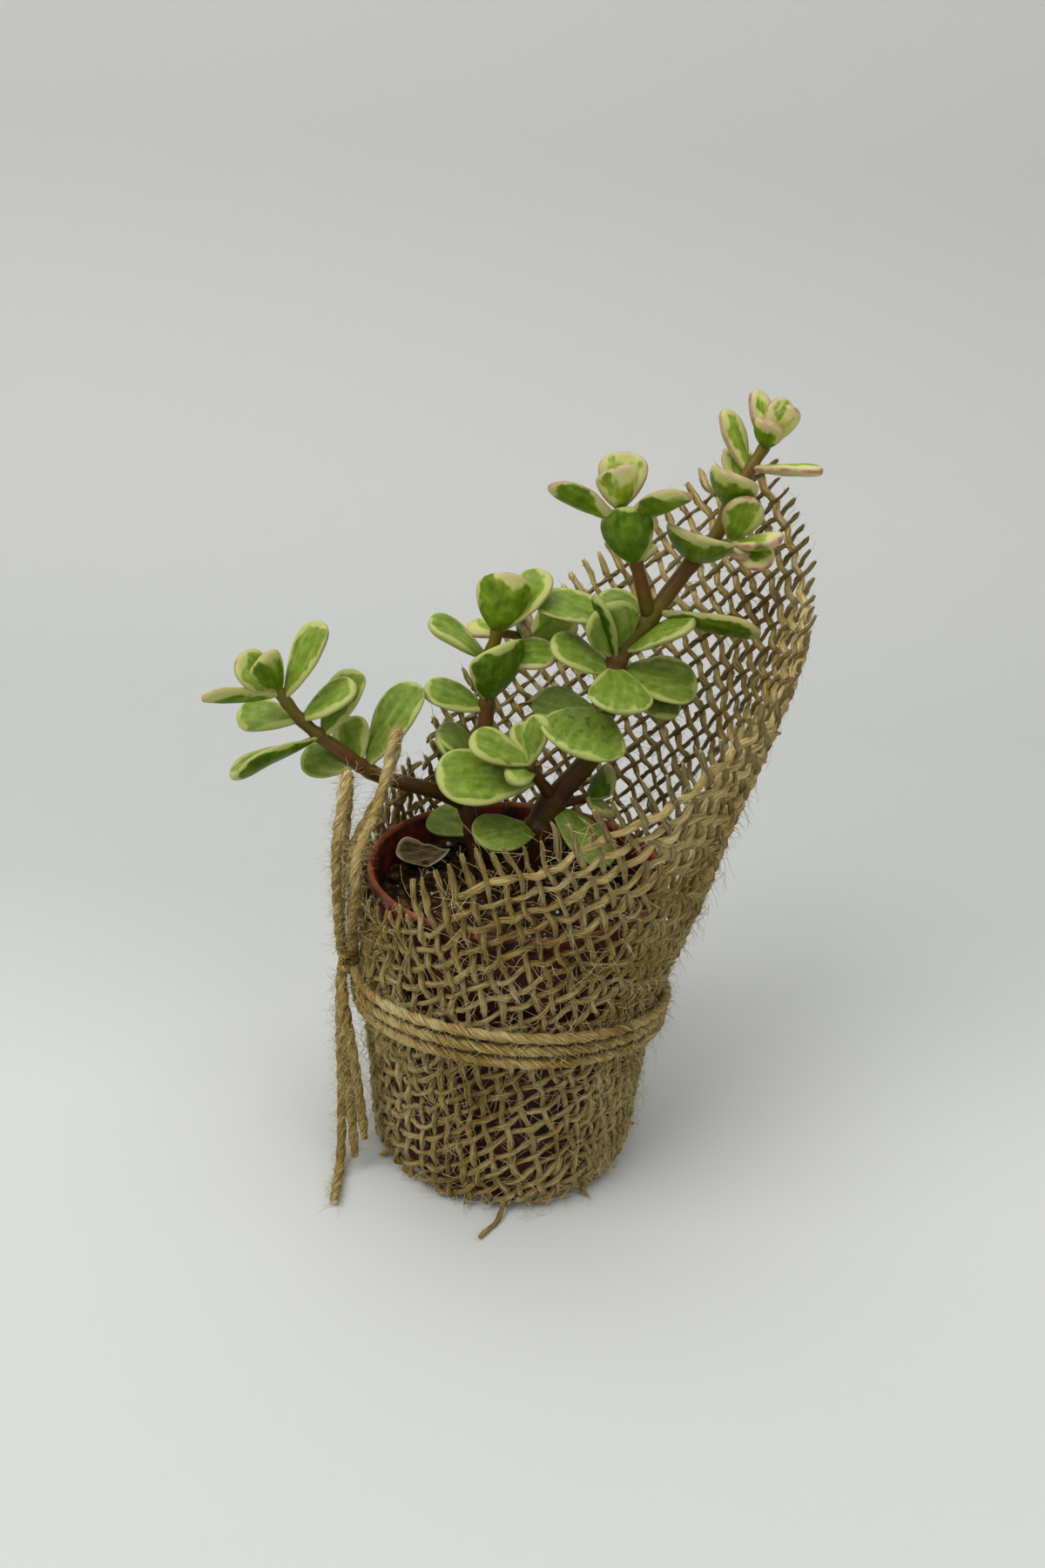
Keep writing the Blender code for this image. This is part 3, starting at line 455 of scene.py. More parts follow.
# Damp peat is nearly black and quite matt, with clods 1 to 3 mm wide and drier crumbs in between.
peat, tree, shader = new_finish("damp_peat")
place = add_node(tree, "ShaderNodeTexCoord", give="Object")
clods = add_node(tree, "ShaderNodeTexNoise", {"Vector": place, "Scale": 420, "Detail": 6, "Roughness": 0.7})
earth = add_node(tree, "ShaderNodeValToRGB", {"Fac": clods},
                 stops=[(0.35, "#0E0803"), (0.52, "#2C1D0C"), (0.66, "#66492A")])
bump = add_node(tree, "ShaderNodeBump", {"Height": clods, "Strength": 0.9, "Distance": 0.0008})
fill_inputs(tree, shader, {"Base Color": earth, "Normal": bump, "Roughness": 0.95,
                           "Specular IOR Level": 0.1})


def soil_height(x, y):
    """Height of the peat's surface at a place, in millimetres."""
    lumps = noise.noise((x * 0.16, y * 0.16, 3)) * 0.5 + noise.noise((x * 0.55, y * 0.55, 9)) * 0.45
    return SOIL_TOP + lumps + noise.noise((x * 1.7, y * 1.7, 5)) * 0.2


profile = [(SOIL_RADIUS * ring / SOIL_RINGS, SOIL_TOP) for ring in range(SOIL_RINGS + 1)]
profile += SOIL_UNDERSIDE
shape = spin_profile(profile, SOIL_SIDES)
for vert in shape.verts:
    if vert.co.z > (SOIL_TOP - 0.5) * MM:
        vert.co.z = soil_height(vert.co.x / MM, vert.co.y / MM) * MM
soil = add_piece("peat_plug", shape, peat)
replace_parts(soil, "soil")


def scatter(name, count, low, high, surface):
    """Small uneven lumps that lie on the peat."""
    shape = bmesh.new()
    for _ in range(count):
        radius = chance.uniform(low, high) * chance.uniform(0.5, 1)
        reach = (SOIL_RADIUS - 1.5) * math.sqrt(chance.random())
        heading = chance.uniform(0, math.tau)
        x, y = reach * math.cos(heading), reach * math.sin(heading)
        spot = Matrix.Translation(Vector((x, y, soil_height(x, y) + radius * 0.25)) * MM)
        angle = chance.uniform(0, math.tau)
        turn = Matrix.Rotation(angle, 4, Vector((chance.gauss(0, 1), chance.gauss(0, 1), 1)))
        squash = Matrix.Diagonal((1, chance.uniform(0.55, 1), chance.uniform(0.5, 0.8), 1))
        made = bmesh.ops.create_icosphere(shape, subdivisions=1, radius=radius * MM,
                                          matrix=spot @ turn @ squash)["verts"]
        middle = spot.to_translation()
        for vert in made:
            vert.co = middle + (vert.co - middle) * (1 + 0.5 * noise.noise(vert.co * 900))
    return add_piece(name, shape, surface)


# Perlite is expanded volcanic glass: chalky, off-white and matt, with pits about 1 mm apart.
perlite, tree, shader = new_finish("expanded_perlite")
place = add_node(tree, "ShaderNodeTexCoord", give="Object")
pits = add_node(tree, "ShaderNodeTexNoise", {"Vector": place, "Scale": 900, "Detail": 3})
chalk = add_node(tree, "ShaderNodeValToRGB", {"Fac": pits}, stops=[(0.35, "#7E7866"), (0.6, "#C6C0AE")])
fill_inputs(tree, shader, {"Base Color": chalk, "Roughness": 0.9})
scatter("peat_crumbs", CRUMBS, 0.5, 1.5, peat)
scatter("perlite_grains", PERLITE_GRAINS, 0.25, 0.7, perlite)


# The two plants. Elephant bush has round fleshy leaves in pairs, green with cream edges, on
# jointed stems that start maroon and end green. Stems are tubes with a ring at each pair.
STEM_DEPTH_IN_SOIL = 12
STEM_STEP = 0.5
LEAF_THICKNESS = 2.1
LEAF_ROOT = 1.0
LEAF_STALK_POWER = 1.15
LEAF_TIP_POWER = 0.5
LEAF_SIDES = 24
LEAF_RINGS = 22
RING_SPACING = 2
# Leaves turn their faces to the light, and by this share along their stem
LIGHT = (0, -0.75, 0.65)
STEM_PULL = 0.5
# Routes of the stems. The first point of a main stem is at the soil's surface
RIGHT_ROUTES = {
    "trunk": [(1, 8, 54), (1.4, 8, 57), (3, 8, 62), (6, 9.5, 69), (12, 11, 77), (14, 12, 85),
              (15.3, 13, 91), (16.3, 14, 97), (22, 16, 105), (28, 18, 114), (32, 19, 119),
              (34.5, 20, 126), (37, 21, 131), (39.5, 22, 135.5)],
    "side_twig": [(21, 15.5, 105), (17.5, 13.5, 115), (14.5, 12, 122), (13.5, 11.5, 125.5)],
    "spur": [(30.5, 18, 117), (35, 15.5, 119)],
    "low_shoot": [(6, 9.5, 69), (2.2, 4.5, 76), (0.8, 2.5, 79)],
    "low_spur": [(7.5, 10, 68), (13, 13, 68.5)],
}
LEFT_ROUTES = {
    "left_stem": [(-8, 8, 54), (-8, 8, 57), (-9.5, 8.8, 63), (-11, 9.5, 67)],
    "upright": [(-11, 9.5, 67), (-9, 10.5, 73), (-8, 11.5, 79), (-7.8, 13, 90), (-8.4, 13.5, 94),
                (-7, 14, 98), (-6.6, 14.5, 101)],
    "upright_twig": [(-7, 14.3, 100), (0, 22, 97)],
    "arm": [(-11, 9.5, 67), (-16, 7.5, 70), (-25, 5, 73), (-29.4, 4, 75.3), (-33.6, 3, 78.8),
            (-38, 2, 82.4), (-41.3, 1.5, 85.8), (-43.5, 1, 89), (-44.8, 1, 91)],
}
# Radius of each stem along its length, as (part of the length, radius)
RIGHT_RADII = {
    "trunk": [(0, 2.9), (0.25, 2.8), (0.285, 2.15), (0.5, 2.05), (0.68, 1.6), (0.87, 1.3), (1, 1.0)],
    "side_twig": [(0, 1.4), (0.6, 1.1), (1, 0.9)],
    "spur": [(0, 1.0), (1, 0.8)],
    "low_shoot": [(0, 1.3), (1, 0.9)],
    "low_spur": [(0, 1.0), (1, 0.8)],
}
LEFT_RADII = {
    "left_stem": [(0, 1.7), (1, 1.7)],
    "upright": [(0, 1.6), (0.6, 1.5), (1, 1.1)],
    "upright_twig": [(0, 0.9), (1, 0.8)],
    "arm": [(0, 1.6), (0.6, 1.35), (1, 1.0)],
}
# Each leaf: route, station along it, heading from +X and rise (degrees),
# length and width, then how far it is cupped, rolled and curled up (degrees)
RIGHT_LEAVES = [
    ("trunk", 93, 120, 52, 10, 5, 70, 0, 20),
    ("trunk", 93, 310, 52, 8.5, 5, 70, 0, 0),
    ("trunk", 93, 60, 50, 9, 5, 60, 0, 20),
    ("trunk", 92.5, 250, 30, 6.5, 6.5, 90, 0, 30),
    ("trunk", 87, 130, 50, 12.5, 5.5, 80, 0, 10),
    ("trunk", 88, 325, 5, 13.5, 6, 40, -5, 0),
    ("trunk", 80.5, 255, 22, 11, 10.5, 100, 0, 30),
    ("trunk", 84, 90, 30, 9, 7, 50, 0, 20),
    ("trunk", 69, 258, 14, 13, 14, 90, 20, 30),
    ("spur", 5, 285, 62, 10, 7.5, 50, -70, 0),
    ("spur", 5, 315, 2, 10.5, 8, 60, 0, 20),
    ("spur", 3, 300, -10, 7, 5, 40, 0, 10),
    ("spur", 4.5, 330, -25, 9, 7, 40, 0, 20),
    ("trunk", 57.5, 334, -7, 20, 8.5, 40, -55, 10),
    ("trunk", 54, 178, 9, 20.5, 9, 60, 0, 0),
    ("trunk", 56, 150, 12, 11, 7, 40, 0, 0),
    ("side_twig", 21, 85, 50, 10, 9, 70, 0, 30),
    ("side_twig", 21, 270, 48, 8.5, 8.5, 100, 0, 30),
    ("side_twig", 18.5, 196, 18, 15, 8, 100, 55, 10),
    ("side_twig", 18.5, 330, 27, 13.5, 8, 100, -55, 0),
    ("side_twig", 10.3, 250, 22, 12.5, 10.5, 100, 0, 80),
    ("side_twig", 10.3, 75, 20, 7, 6, 50, 0, 0),
    ("trunk", 46, 217, 63, 14.5, 7, 80, 0, 0),
    ("trunk", 46.5, 228, 66, 12, 11, 30, -85, 0),
    ("trunk", 48, 340, 30, 15, 9.5, 40, 0, 0),
    ("trunk", 44, 192, 22, 13.5, 10, 30, 0, 0),
    ("trunk", 45, 275, -20, 14, 12, 20, 0, 0),
    ("trunk", 44, 0, -8, 16, 12, 30, 0, 0),
    ("trunk", 41, 5, -15, 14, 9, 30, 0, 0),
    ("trunk", 36.5, 246, -12, 16.5, 17, 15, 0, 0),
    ("trunk", 35, 160, 5, 14, 9, 30, 0, 0),
    ("low_shoot", 13, 183, 22, 12, 7, 80, 0, 0),
    ("low_shoot", 13, 40, 78, 9.5, 5.5, 70, 0, 0),
    ("low_shoot", 13, 110, 45, 8.5, 5.5, 50, 0, 0),
    ("low_shoot", 10.5, 225, 0, 6.5, 5.5, 40, 0, 0),
    ("low_shoot", 7.5, 196, 2, 20, 12, 30, 0, 10),
    ("low_spur", 6, 340, 55, 8, 8, 40, 0, 0),
    ("low_spur", 6, 310, -15, 6.5, 6, 30, 0, 0),
    ("trunk", 10, 222, 5, 15.5, 10, 30, 0, 0),
    ("trunk", 15, 328, -30, 16.5, 9, 30, 0, 0),
]
LEFT_LEAVES = [
    ("upright", 21, 314, 36, 14.5, 15, 100, 0, 55),
    ("upright", 29, 200, 32, 13.5, 8.5, 70, 0, 0),
    ("upright", 29, 0, 6, 13, 8, 40, 0, 0),
    ("upright", 34, 286, 46, 12.5, 11.5, 110, 0, 60),
    ("upright", 34, 15, 50, 14.5, 8.5, 60, 0, 0),
    ("upright", 33.5, 147, 5, 6.5, 5, 40, 0, 0),
    ("upright_twig", 10.5, 10, 35, 9.5, 9, 40, 0, 0),
    ("upright_twig", 10.5, 10, -5, 9, 7, 40, 0, 0),
    ("upright_twig", 8, 265, 50, 5.5, 5, 50, 0, 0),
    ("upright", 19, 182, 17, 12.5, 8, 50, 0, 0),
    ("upright", 7, 200, 65, 11.5, 10, 50, 0, -40),
    ("upright", 4.5, 205, 52, 12.5, 8, 30, 0, 0),
    ("left_stem", 7.3, 138, 2, 11.5, 8, 20, 0, 0),
    ("arm", 21, 36, 54, 18.5, 10, 60, 0, 0),
    ("arm", 22.5, 173, 0, 11, 8, 30, 0, 0),
    ("arm", 22.5, 117, 48, 9.5, 7.5, 40, 0, 0),
    ("arm", 31.5, 221, -14, 18, 11, 110, 38, 0),
    ("arm", 31, 50, 53, 14, 8.5, 50, 0, 0),
    ("arm", 36, 5, 36, 12, 7.5, 60, 0, 0),
    ("arm", 42, 218, 6, 14.5, 6, 60, 45, 0),
    ("arm", 36, 168, -3, 12.5, 7, 30, 0, 0),
    ("arm", 41, 20, 62, 15.5, 8.5, 50, 0, 0),
    ("arm", 42.5, 212, 42, 10, 8, 50, -50, 0),
    ("arm", 42.5, 242, 65, 8.5, 7.5, 70, 0, 0),
]
# How young each stem is at its foot and at its tip, from 0, old and maroon, to 1, new and green
STEM_AGES = {"trunk": (0, 0.75), "side_twig": (0.35, 0.8), "spur": (0.5, 0.8), "low_shoot": (0.2, 0.5),
             "low_spur": (0.2, 0.5), "left_stem": (0, 0.1), "upright": (0.1, 0.6),
             "upright_twig": (0.5, 0.7), "arm": (0.1, 0.6)}
# The one leaf with specks of sooty mould, by its route, station and heading
SOOTY_LEAF = ("trunk", 36.5, 246)
# What each point of a leaf stores for its colours
LEAF_LAYERS = ("edge", "face", "young", "soot")


def between(table, place):
    """Read a table of (place, value) pairs, straight between its rows."""
    for (low, value), (high, next_value) in zip(table, table[1:]):
        if place <= high:
            return value + (next_value - value) * (place - low) / (high - low)
    return table[-1][1]


def leaf_placing(place, heading, rise, up, roll):
    """The matrix that sets a leaf's stalk at a place and points its tip, its face to the light."""
    heading = math.radians(heading)
    rise = math.radians(rise)
    level = math.cos(rise)
    tip = Vector((level * math.cos(heading), level * math.sin(heading), math.sin(rise)))
    light = Vector(LIGHT).normalized()
    up = up * STEM_PULL + light * (1 - max(tip.dot(light), 0))
    face = (up - tip * up.dot(tip)).normalized()
    face.rotate(Matrix.Rotation(math.radians(roll), 3, tip))
    across = face.cross(tip)
    return Matrix.Translation(place) @ Matrix((tip, across, face)).transposed().to_4x4()


def add_leaf(shape, layers, length, width, thickness, cup, curl, placing, young, soot):
    """Add one blade: a ball drawn out to the leaf's outline, cupped, curled and placed.

    Each point also stores its distance from the leaf's edge in millimetres, the side it is on,
    and how young and how sooty the leaf is. The map holds its place along and across the leaf, in
    centimetres. These drive the colours.
    """
    edge, face, young_layer, soot_layer, uv = layers
    made = bmesh.ops.create_uvsphere(shape, u_segments=LEAF_SIDES, v_segments=LEAF_RINGS, radius=1)["verts"]
    widest = LEAF_STALK_POWER / (LEAF_STALK_POWER + LEAF_TIP_POWER)
    peak = widest ** LEAF_STALK_POWER * (1 - widest) ** LEAF_TIP_POWER
    cup_radius = width / math.radians(max(cup, 1))
    seed = chance.uniform(0, 100)
    places = {}
    for vert in made:
        along = min(max((vert.co.z + 1) / 2, 0), 1)
        around = math.atan2(vert.co.y, vert.co.x)
        spread = along ** LEAF_STALK_POWER * (1 - along) ** LEAF_TIP_POWER / peak
        uneven = 1 + 0.10 * noise.noise((along * 2.2, seed, math.copysign(1, math.cos(around))))
        half = spread * width / 2 * uneven
        side = half * math.cos(around) / cup_radius
        lift = cup_radius - math.sqrt(spread) * thickness / 2 * math.sin(around)
        vert[edge] = min(half * (1 - abs(math.cos(around))), (1 - along) * length * 0.7)
        vert[face] = math.sin(around)
        vert[young_layer] = young
        vert[soot_layer] = soot
        places[vert] = (along * length / 10 + seed, math.cos(around) * half / 10)
        vert.co = (along * length, lift * math.sin(side), cup_radius - lift * math.cos(side))
        ripple = noise.noise((along * 3 + seed, math.cos(around) * 2, seed))
        vert.co.z += 0.35 * ripple * spread
    if curl:
        curl_radius = length / math.radians(curl)
        for vert in made:
            turn = vert.co.x / curl_radius
            arm = curl_radius - vert.co.z
            vert.co = (arm * math.sin(turn), vert.co.y, curl_radius - arm * math.cos(turn))
    bmesh.ops.scale(shape, vec=(MM, MM, MM), verts=made)
    bmesh.ops.transform(shape, matrix=placing, verts=made)
    faces = {face for vert in made for face in vert.link_faces}
    for loop in (loop for face in faces for loop in face.loops):
        loop[uv].uv = places[loop.vert]


def new_leaves():
    """An empty bmesh for leaves, with the layers that their colours are read from."""
    shape = bmesh.new()
    layers = [shape.verts.layers.float.new(name) for name in LEAF_LAYERS]
    return shape, (*layers, shape.loops.layers.uv.new("leaf"))


def add_stem(shape, young_layer, path, radii, rings, ages):
    """Add one stem: a tube with a swollen ring at each leaf pair, closed at both ends."""
    length = path_length(path)
    count = max(4, round(length / STEM_STEP))
    data = new_curve("stem")
    data.bevel_depth = MM
    data.bevel_resolution = 6
    points = []
    sizes = []
    for step in range(count + 1):
        station = length * step / count
        points.append(walk(path, station)[0])
        size = between(radii, step / count)
        for ring in rings:
            size *= 1 + 0.15 * math.exp(-((station - ring) / 0.8) ** 2)
            size *= 1 - 0.07 * math.exp(-((station - ring - 1.5) / 0.6) ** 2)
        sizes.append(size)
    add_line(data, points, sizes)
    coarse = points[::6]
    for vert in add_tubes(shape, data):
        place = vert.co / MM
        nearest = min(range(len(coarse)), key=lambda at: (coarse[at] - place).length)
        part = nearest / max(1, len(coarse) - 1)
        vert[young_layer] = ages[0] + (ages[1] - ages[0]) * part


def add_plant(name, node, routes, radii, leaves):
    """One plant: a piece of stems and a piece of leaves, which stand for one CAD node."""
    stems = bmesh.new()
    young_layer = stems.verts.layers.float.new("young")
    paths = {}
    for stem, route in routes.items():
        path = smooth_path(route)
        paths[stem] = path
        start = STEM_DEPTH_IN_SOIL if len(paths) == 1 else 0
        if start:
            path = [path[0] - Vector((0, 0, start))] + path
        stations = [leaf[1] for leaf in leaves if leaf[0] == stem]
        rings = {round(station / RING_SPACING) * RING_SPACING + start for station in stations}
        add_stem(stems, young_layer, path, radii[stem], rings, STEM_AGES[stem])
    bmesh.ops.remove_doubles(stems, verts=stems.verts, dist=0.001 * MM)
    wood = add_piece(name + "_stems", stems, bark)
    shape, layers = new_leaves()
    sunk = Matrix.Translation((-LEAF_ROOT * MM, 0, 0))
    for stem, station, heading, rise, length, width, cup, roll, curl in leaves:
        path = paths[stem]
        place, up = walk(path, station)
        placing = leaf_placing(place * MM, heading, rise, up, roll) @ sunk
        ages = STEM_AGES[stem]
        young = ages[0] + (ages[1] - ages[0]) * min(station / path_length(path), 1)
        young = min(max(young + chance.uniform(-0.12, 0.12), 0), 1)
        soot = 1 if (stem, station, heading) == SOOTY_LEAF else 0
        add_leaf(shape, layers, length + LEAF_ROOT, width, LEAF_THICKNESS, cup, curl, placing, young, soot)
    blades = add_piece(name + "_leaves", shape, leaf_skin)
    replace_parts(wood, node)
    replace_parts(blades, node)


# Leaf skin is smooth and waxy. Inside a cream edge, wide and uneven on new leaves and thin on old
# ones, it is green with faint streaks about 1 mm wide; undersides are painted a deeper green as shade,
# and shoot tips blush to a pink rim.
leaf_skin, tree, shader = new_finish("variegated_leaf_skin")
edge, face, young, soot = [add_node(tree, "ShaderNodeAttribute", give="Fac", attribute_name=layer)
                           for layer in LEAF_LAYERS]
leaf_map = add_node(tree, "ShaderNodeUVMap", give="UV", uv_map="leaf")
along_leaf = add_node(tree, "ShaderNodeMapping", {"Vector": leaf_map, "Scale": (1.6, 8, 1)})
streaks = add_node(tree, "ShaderNodeTexNoise", {"Vector": along_leaf, "Scale": 1, "Detail": 3})
wander = add_node(tree, "ShaderNodeTexNoise", {"Vector": leaf_map, "Scale": 1.7, "Detail": 2})
clouds = add_node(tree, "ShaderNodeTexNoise", {"Vector": leaf_map, "Scale": 6, "Detail": 3})
tone = add_node(tree, "ShaderNodeMath", {0: streaks, 1: 0.5}, operation="MULTIPLY")
tone = add_node(tree, "ShaderNodeMath", {0: clouds, 1: 0.5, 2: tone}, operation="MULTIPLY_ADD")
top_green = add_node(tree, "ShaderNodeValToRGB", {"Fac": tone},
                     stops=[(0.34, "#5E7422"), (0.5, "#758934"), (0.66, "#8E9E4A")])
# Painted shade: the undersides are a deeper green.
shaded_under_green = add_node(tree, "ShaderNodeValToRGB", {"Fac": tone},
                       stops=[(0.36, "#284200"), (0.5, "#385802"), (0.64, "#577814")])
new_green = add_node(tree, "ShaderNodeValToRGB", {"Fac": tone},
                     stops=[(0.36, "#6E8A10"), (0.5, "#88A21A"), (0.64, "#A6B438")])
upper = add_node(tree, "ShaderNodeMapRange", {0: face, 1: -0.35, 2: 0.15})
green = add_node(tree, "ShaderNodeMix", {0: upper, 6: shaded_under_green, 7: top_green}, **COLOUR_MIX)
newer = add_node(tree, "ShaderNodeMapRange", {0: young, 1: 0.3, 2: 0.85})
patchy = add_node(tree, "ShaderNodeMapRange", {0: wander, 1: 0.3, 2: 0.6, 3: 0.35, 4: 1.0})
fresh = add_node(tree, "ShaderNodeMath", {0: newer, 1: patchy}, operation="MULTIPLY")
green = add_node(tree, "ShaderNodeMix", {0: fresh, 6: green, 7: new_green}, **COLOUR_MIX)

# The cream edge. Its inner border wanders, and runs up into the green along the streaks.
uneven = add_node(tree, "ShaderNodeMapRange", {0: wander, 1: 0.38, 2: 0.64, 3: 0.0, 4: 2.0})
width = add_node(tree, "ShaderNodeMath", {0: young, 1: 1.05, 2: 0.02}, operation="MULTIPLY_ADD")
width = add_node(tree, "ShaderNodeMath", {0: width, 1: uneven}, operation="MULTIPLY")
tongues = add_node(tree, "ShaderNodeMapRange", {0: streaks, 1: 0.35, 2: 0.65, 3: -0.2, 4: 0.35})
width = add_node(tree, "ShaderNodeMath", {0: tongues, 1: young, 2: width}, operation="MULTIPLY_ADD")
inner = add_node(tree, "ShaderNodeMath", {0: young, 1: 0.2, 2: 0.26}, operation="MULTIPLY_ADD")
inner = add_node(tree, "ShaderNodeMath", {0: width, 1: 1.3, 2: inner}, operation="MULTIPLY_ADD")
in_margin = add_node(tree, "ShaderNodeMapRange", {0: edge, 1: width, 2: inner, 3: 1.0, 4: 0.0},
                     interpolation_type="SMOOTHSTEP")
strength = add_node(tree, "ShaderNodeMath", {0: young, 1: 0.4, 2: 0.6}, operation="MULTIPLY_ADD")
in_margin = add_node(tree, "ShaderNodeMath", {0: in_margin, 1: strength}, operation="MULTIPLY")
cream = add_node(tree, "ShaderNodeMix", {0: young, 6: colour("#9CA858"), 7: colour("#DCD886")},
                 **COLOUR_MIX)
tip = add_node(tree, "ShaderNodeMapRange", {0: young, 1: 0.45, 2: 0.7})
blush = add_node(tree, "ShaderNodeMapRange", {0: edge, 1: 0.2, 2: 1.1, 3: 0.7, 4: 0.0})
blush = add_node(tree, "ShaderNodeMath", {0: tip, 1: blush}, operation="MULTIPLY")
cream = add_node(tree, "ShaderNodeMix", {0: blush, 6: cream, 7: colour("#C4A488")}, **COLOUR_MIX)
skin = add_node(tree, "ShaderNodeMix", {0: in_margin, 6: green, 7: cream}, **COLOUR_MIX)
rim = add_node(tree, "ShaderNodeMapRange", {0: edge, 1: 0.03, 2: 0.2, 3: 1.0, 4: 0.0})
tip = add_node(tree, "ShaderNodeMapRange", {0: young, 1: 0.4, 2: 0.7, 3: 0.0, 4: 0.8})
rosy = add_node(tree, "ShaderNodeMath", {0: rim, 1: tip}, operation="MULTIPLY")
broken = add_node(tree, "ShaderNodeMapRange", {0: clouds, 1: 0.38, 2: 0.62, 3: 0.25, 4: 1.0})
rosy = add_node(tree, "ShaderNodeMath", {0: rosy, 1: broken}, operation="MULTIPLY")
skin = add_node(tree, "ShaderNodeMix", {0: rosy, 6: skin, 7: colour("#8E4A58")}, **COLOUR_MIX)

# Sooty mould on one old leaf, in blotches of 1 to 2 mm that keep off its edge.
specks = add_node(tree, "ShaderNodeTexNoise", {"Vector": leaf_map, "Scale": 6, "Detail": 5})
specks = add_node(tree, "ShaderNodeMapRange", {0: specks, 1: 0.5, 2: 0.66, 3: 0.0, 4: 0.65})
sooty = add_node(tree, "ShaderNodeMath", {0: soot, 1: specks}, operation="MULTIPLY")
inside = add_node(tree, "ShaderNodeMapRange", {0: edge, 1: 0.8, 2: 2.2})
sooty = add_node(tree, "ShaderNodeMath", {0: sooty, 1: inside}, operation="MULTIPLY")
skin = add_node(tree, "ShaderNodeMix", {0: sooty, 6: skin, 7: colour("#26330F")}, **COLOUR_MIX)
pores = add_node(tree, "ShaderNodeTexNoise", {"Vector": leaf_map, "Scale": 60, "Detail": 2})
bump = add_node(tree, "ShaderNodeBump", {"Height": pores, "Strength": 0.2, "Distance": 0.0001})
fill_inputs(tree, shader, {"Base Color": skin, "Normal": bump, "Roughness": 0.42,
                           "Specular IOR Level": 0.17, "Subsurface Weight": 0.12,
                           "Subsurface Radius": (0.5, 1.0, 0.1), "Subsurface Scale": 0.001})

# Bark is a thin waxy skin with a dull gloss, mottled maroon and olive in patches of 9 mm. It is
# dark on old wood and paler towards the shoots.
bark, tree, shader = new_finish("succulent_bark")
young = add_node(tree, "ShaderNodeAttribute", give="Fac", attribute_name="young")
place = add_node(tree, "ShaderNodeTexCoord", give="Object")
mottle = add_node(tree, "ShaderNodeTexNoise", {"Vector": place, "Scale": 300, "Detail": 4})
shifted = add_node(tree, "ShaderNodeMath", {0: mottle, 1: 0.5, 2: young}, operation="MULTIPLY_ADD")
olive = add_node(tree, "ShaderNodeValToRGB", {"Fac": shifted},
                 stops=[(0.15, "#3C2414"), (0.42, "#4C3614"), (0.65, "#5A4E12"), (0.95, "#6E6414")])
maroon = add_node(tree, "ShaderNodeValToRGB", {"Fac": shifted},
                  stops=[(0.15, "#3C1B13"), (0.42, "#502A18"), (0.65, "#5E3C1C"), (0.95, "#744C26")])
patches = add_node(tree, "ShaderNodeTexNoise", {"Vector": place, "Scale": 110, "Detail": 2})
patches = add_node(tree, "ShaderNodeMapRange", {0: patches, 1: 0.42, 2: 0.6})
skin = add_node(tree, "ShaderNodeMix", {0: patches, 6: olive, 7: maroon}, **COLOUR_MIX)
bump = add_node(tree, "ShaderNodeBump", {"Height": mottle, "Strength": 0.4, "Distance": 0.0002})
fill_inputs(tree, shader, {"Base Color": skin, "Normal": bump, "Roughness": 0.38,
                           "Specular IOR Level": 0.22})

add_plant("right", "stem_right", RIGHT_ROUTES, RIGHT_RADII, RIGHT_LEAVES)
add_plant("left", "stem_left", LEFT_ROUTES, LEFT_RADII, LEFT_LEAVES)


# The fallen leaf. It has dried on the peat to a thin papery scoop, open towards the front.
DRY_LEAF = {"place": (-13.2, 9.0, 57.1), "heading": 180, "rise": -36, "length": 11.4, "width": 7.8,
            "thickness": 0.35, "cup": 125, "curl": 78, "roll": 8}
CRUMPLE = 0.9

# A dry leaf is papery and matt, tan outside and painted darker brown inside as shade, with a pale edge,
# partly its own colour and partly painted light, and wrinkles that run along it about 0.5 mm apart.
papery, tree, shader = new_finish("dried_leaf")
leaf_map = add_node(tree, "ShaderNodeUVMap", give="UV", uv_map="leaf")
along_leaf = add_node(tree, "ShaderNodeMapping", {"Vector": leaf_map, "Scale": (4, 20, 1)})
wrinkles = add_node(tree, "ShaderNodeTexNoise", {"Vector": along_leaf, "Scale": 1, "Detail": 5})
# Painted shade: the inside of the scoop is darker brown.
inside = add_node(tree, "ShaderNodeValToRGB", {"Fac": wrinkles},
                  stops=[(0.3, "#3A3020"), (0.5, "#6A5A3A"), (0.7, "#94835C")])
outside = add_node(tree, "ShaderNodeValToRGB", {"Fac": wrinkles},
                   stops=[(0.3, "#8E7852"), (0.5, "#B8A074"), (0.7, "#D0BC92")])
face = add_node(tree, "ShaderNodeAttribute", give="Fac", attribute_name="face")
upper = add_node(tree, "ShaderNodeMapRange", {0: face, 1: -0.1, 2: 0.2})
tan = add_node(tree, "ShaderNodeMix", {0: upper, 6: outside, 7: inside}, **COLOUR_MIX)
edge = add_node(tree, "ShaderNodeAttribute", give="Fac", attribute_name="edge")
# The pale edge is partly its own colour and partly painted light.
rim = add_node(tree, "ShaderNodeMapRange", {0: edge, 1: 0.15, 2: 0.9, 3: 0.9, 4: 0.0})
tan = add_node(tree, "ShaderNodeMix", {0: rim, 6: tan, 7: colour("#CCB68E")}, **COLOUR_MIX)
bump = add_node(tree, "ShaderNodeBump", {"Height": wrinkles, "Strength": 0.8, "Distance": 0.0005})
fill_inputs(tree, shader, {"Base Color": tan, "Normal": bump, "Roughness": 0.8,
                           "Specular IOR Level": 0.2})

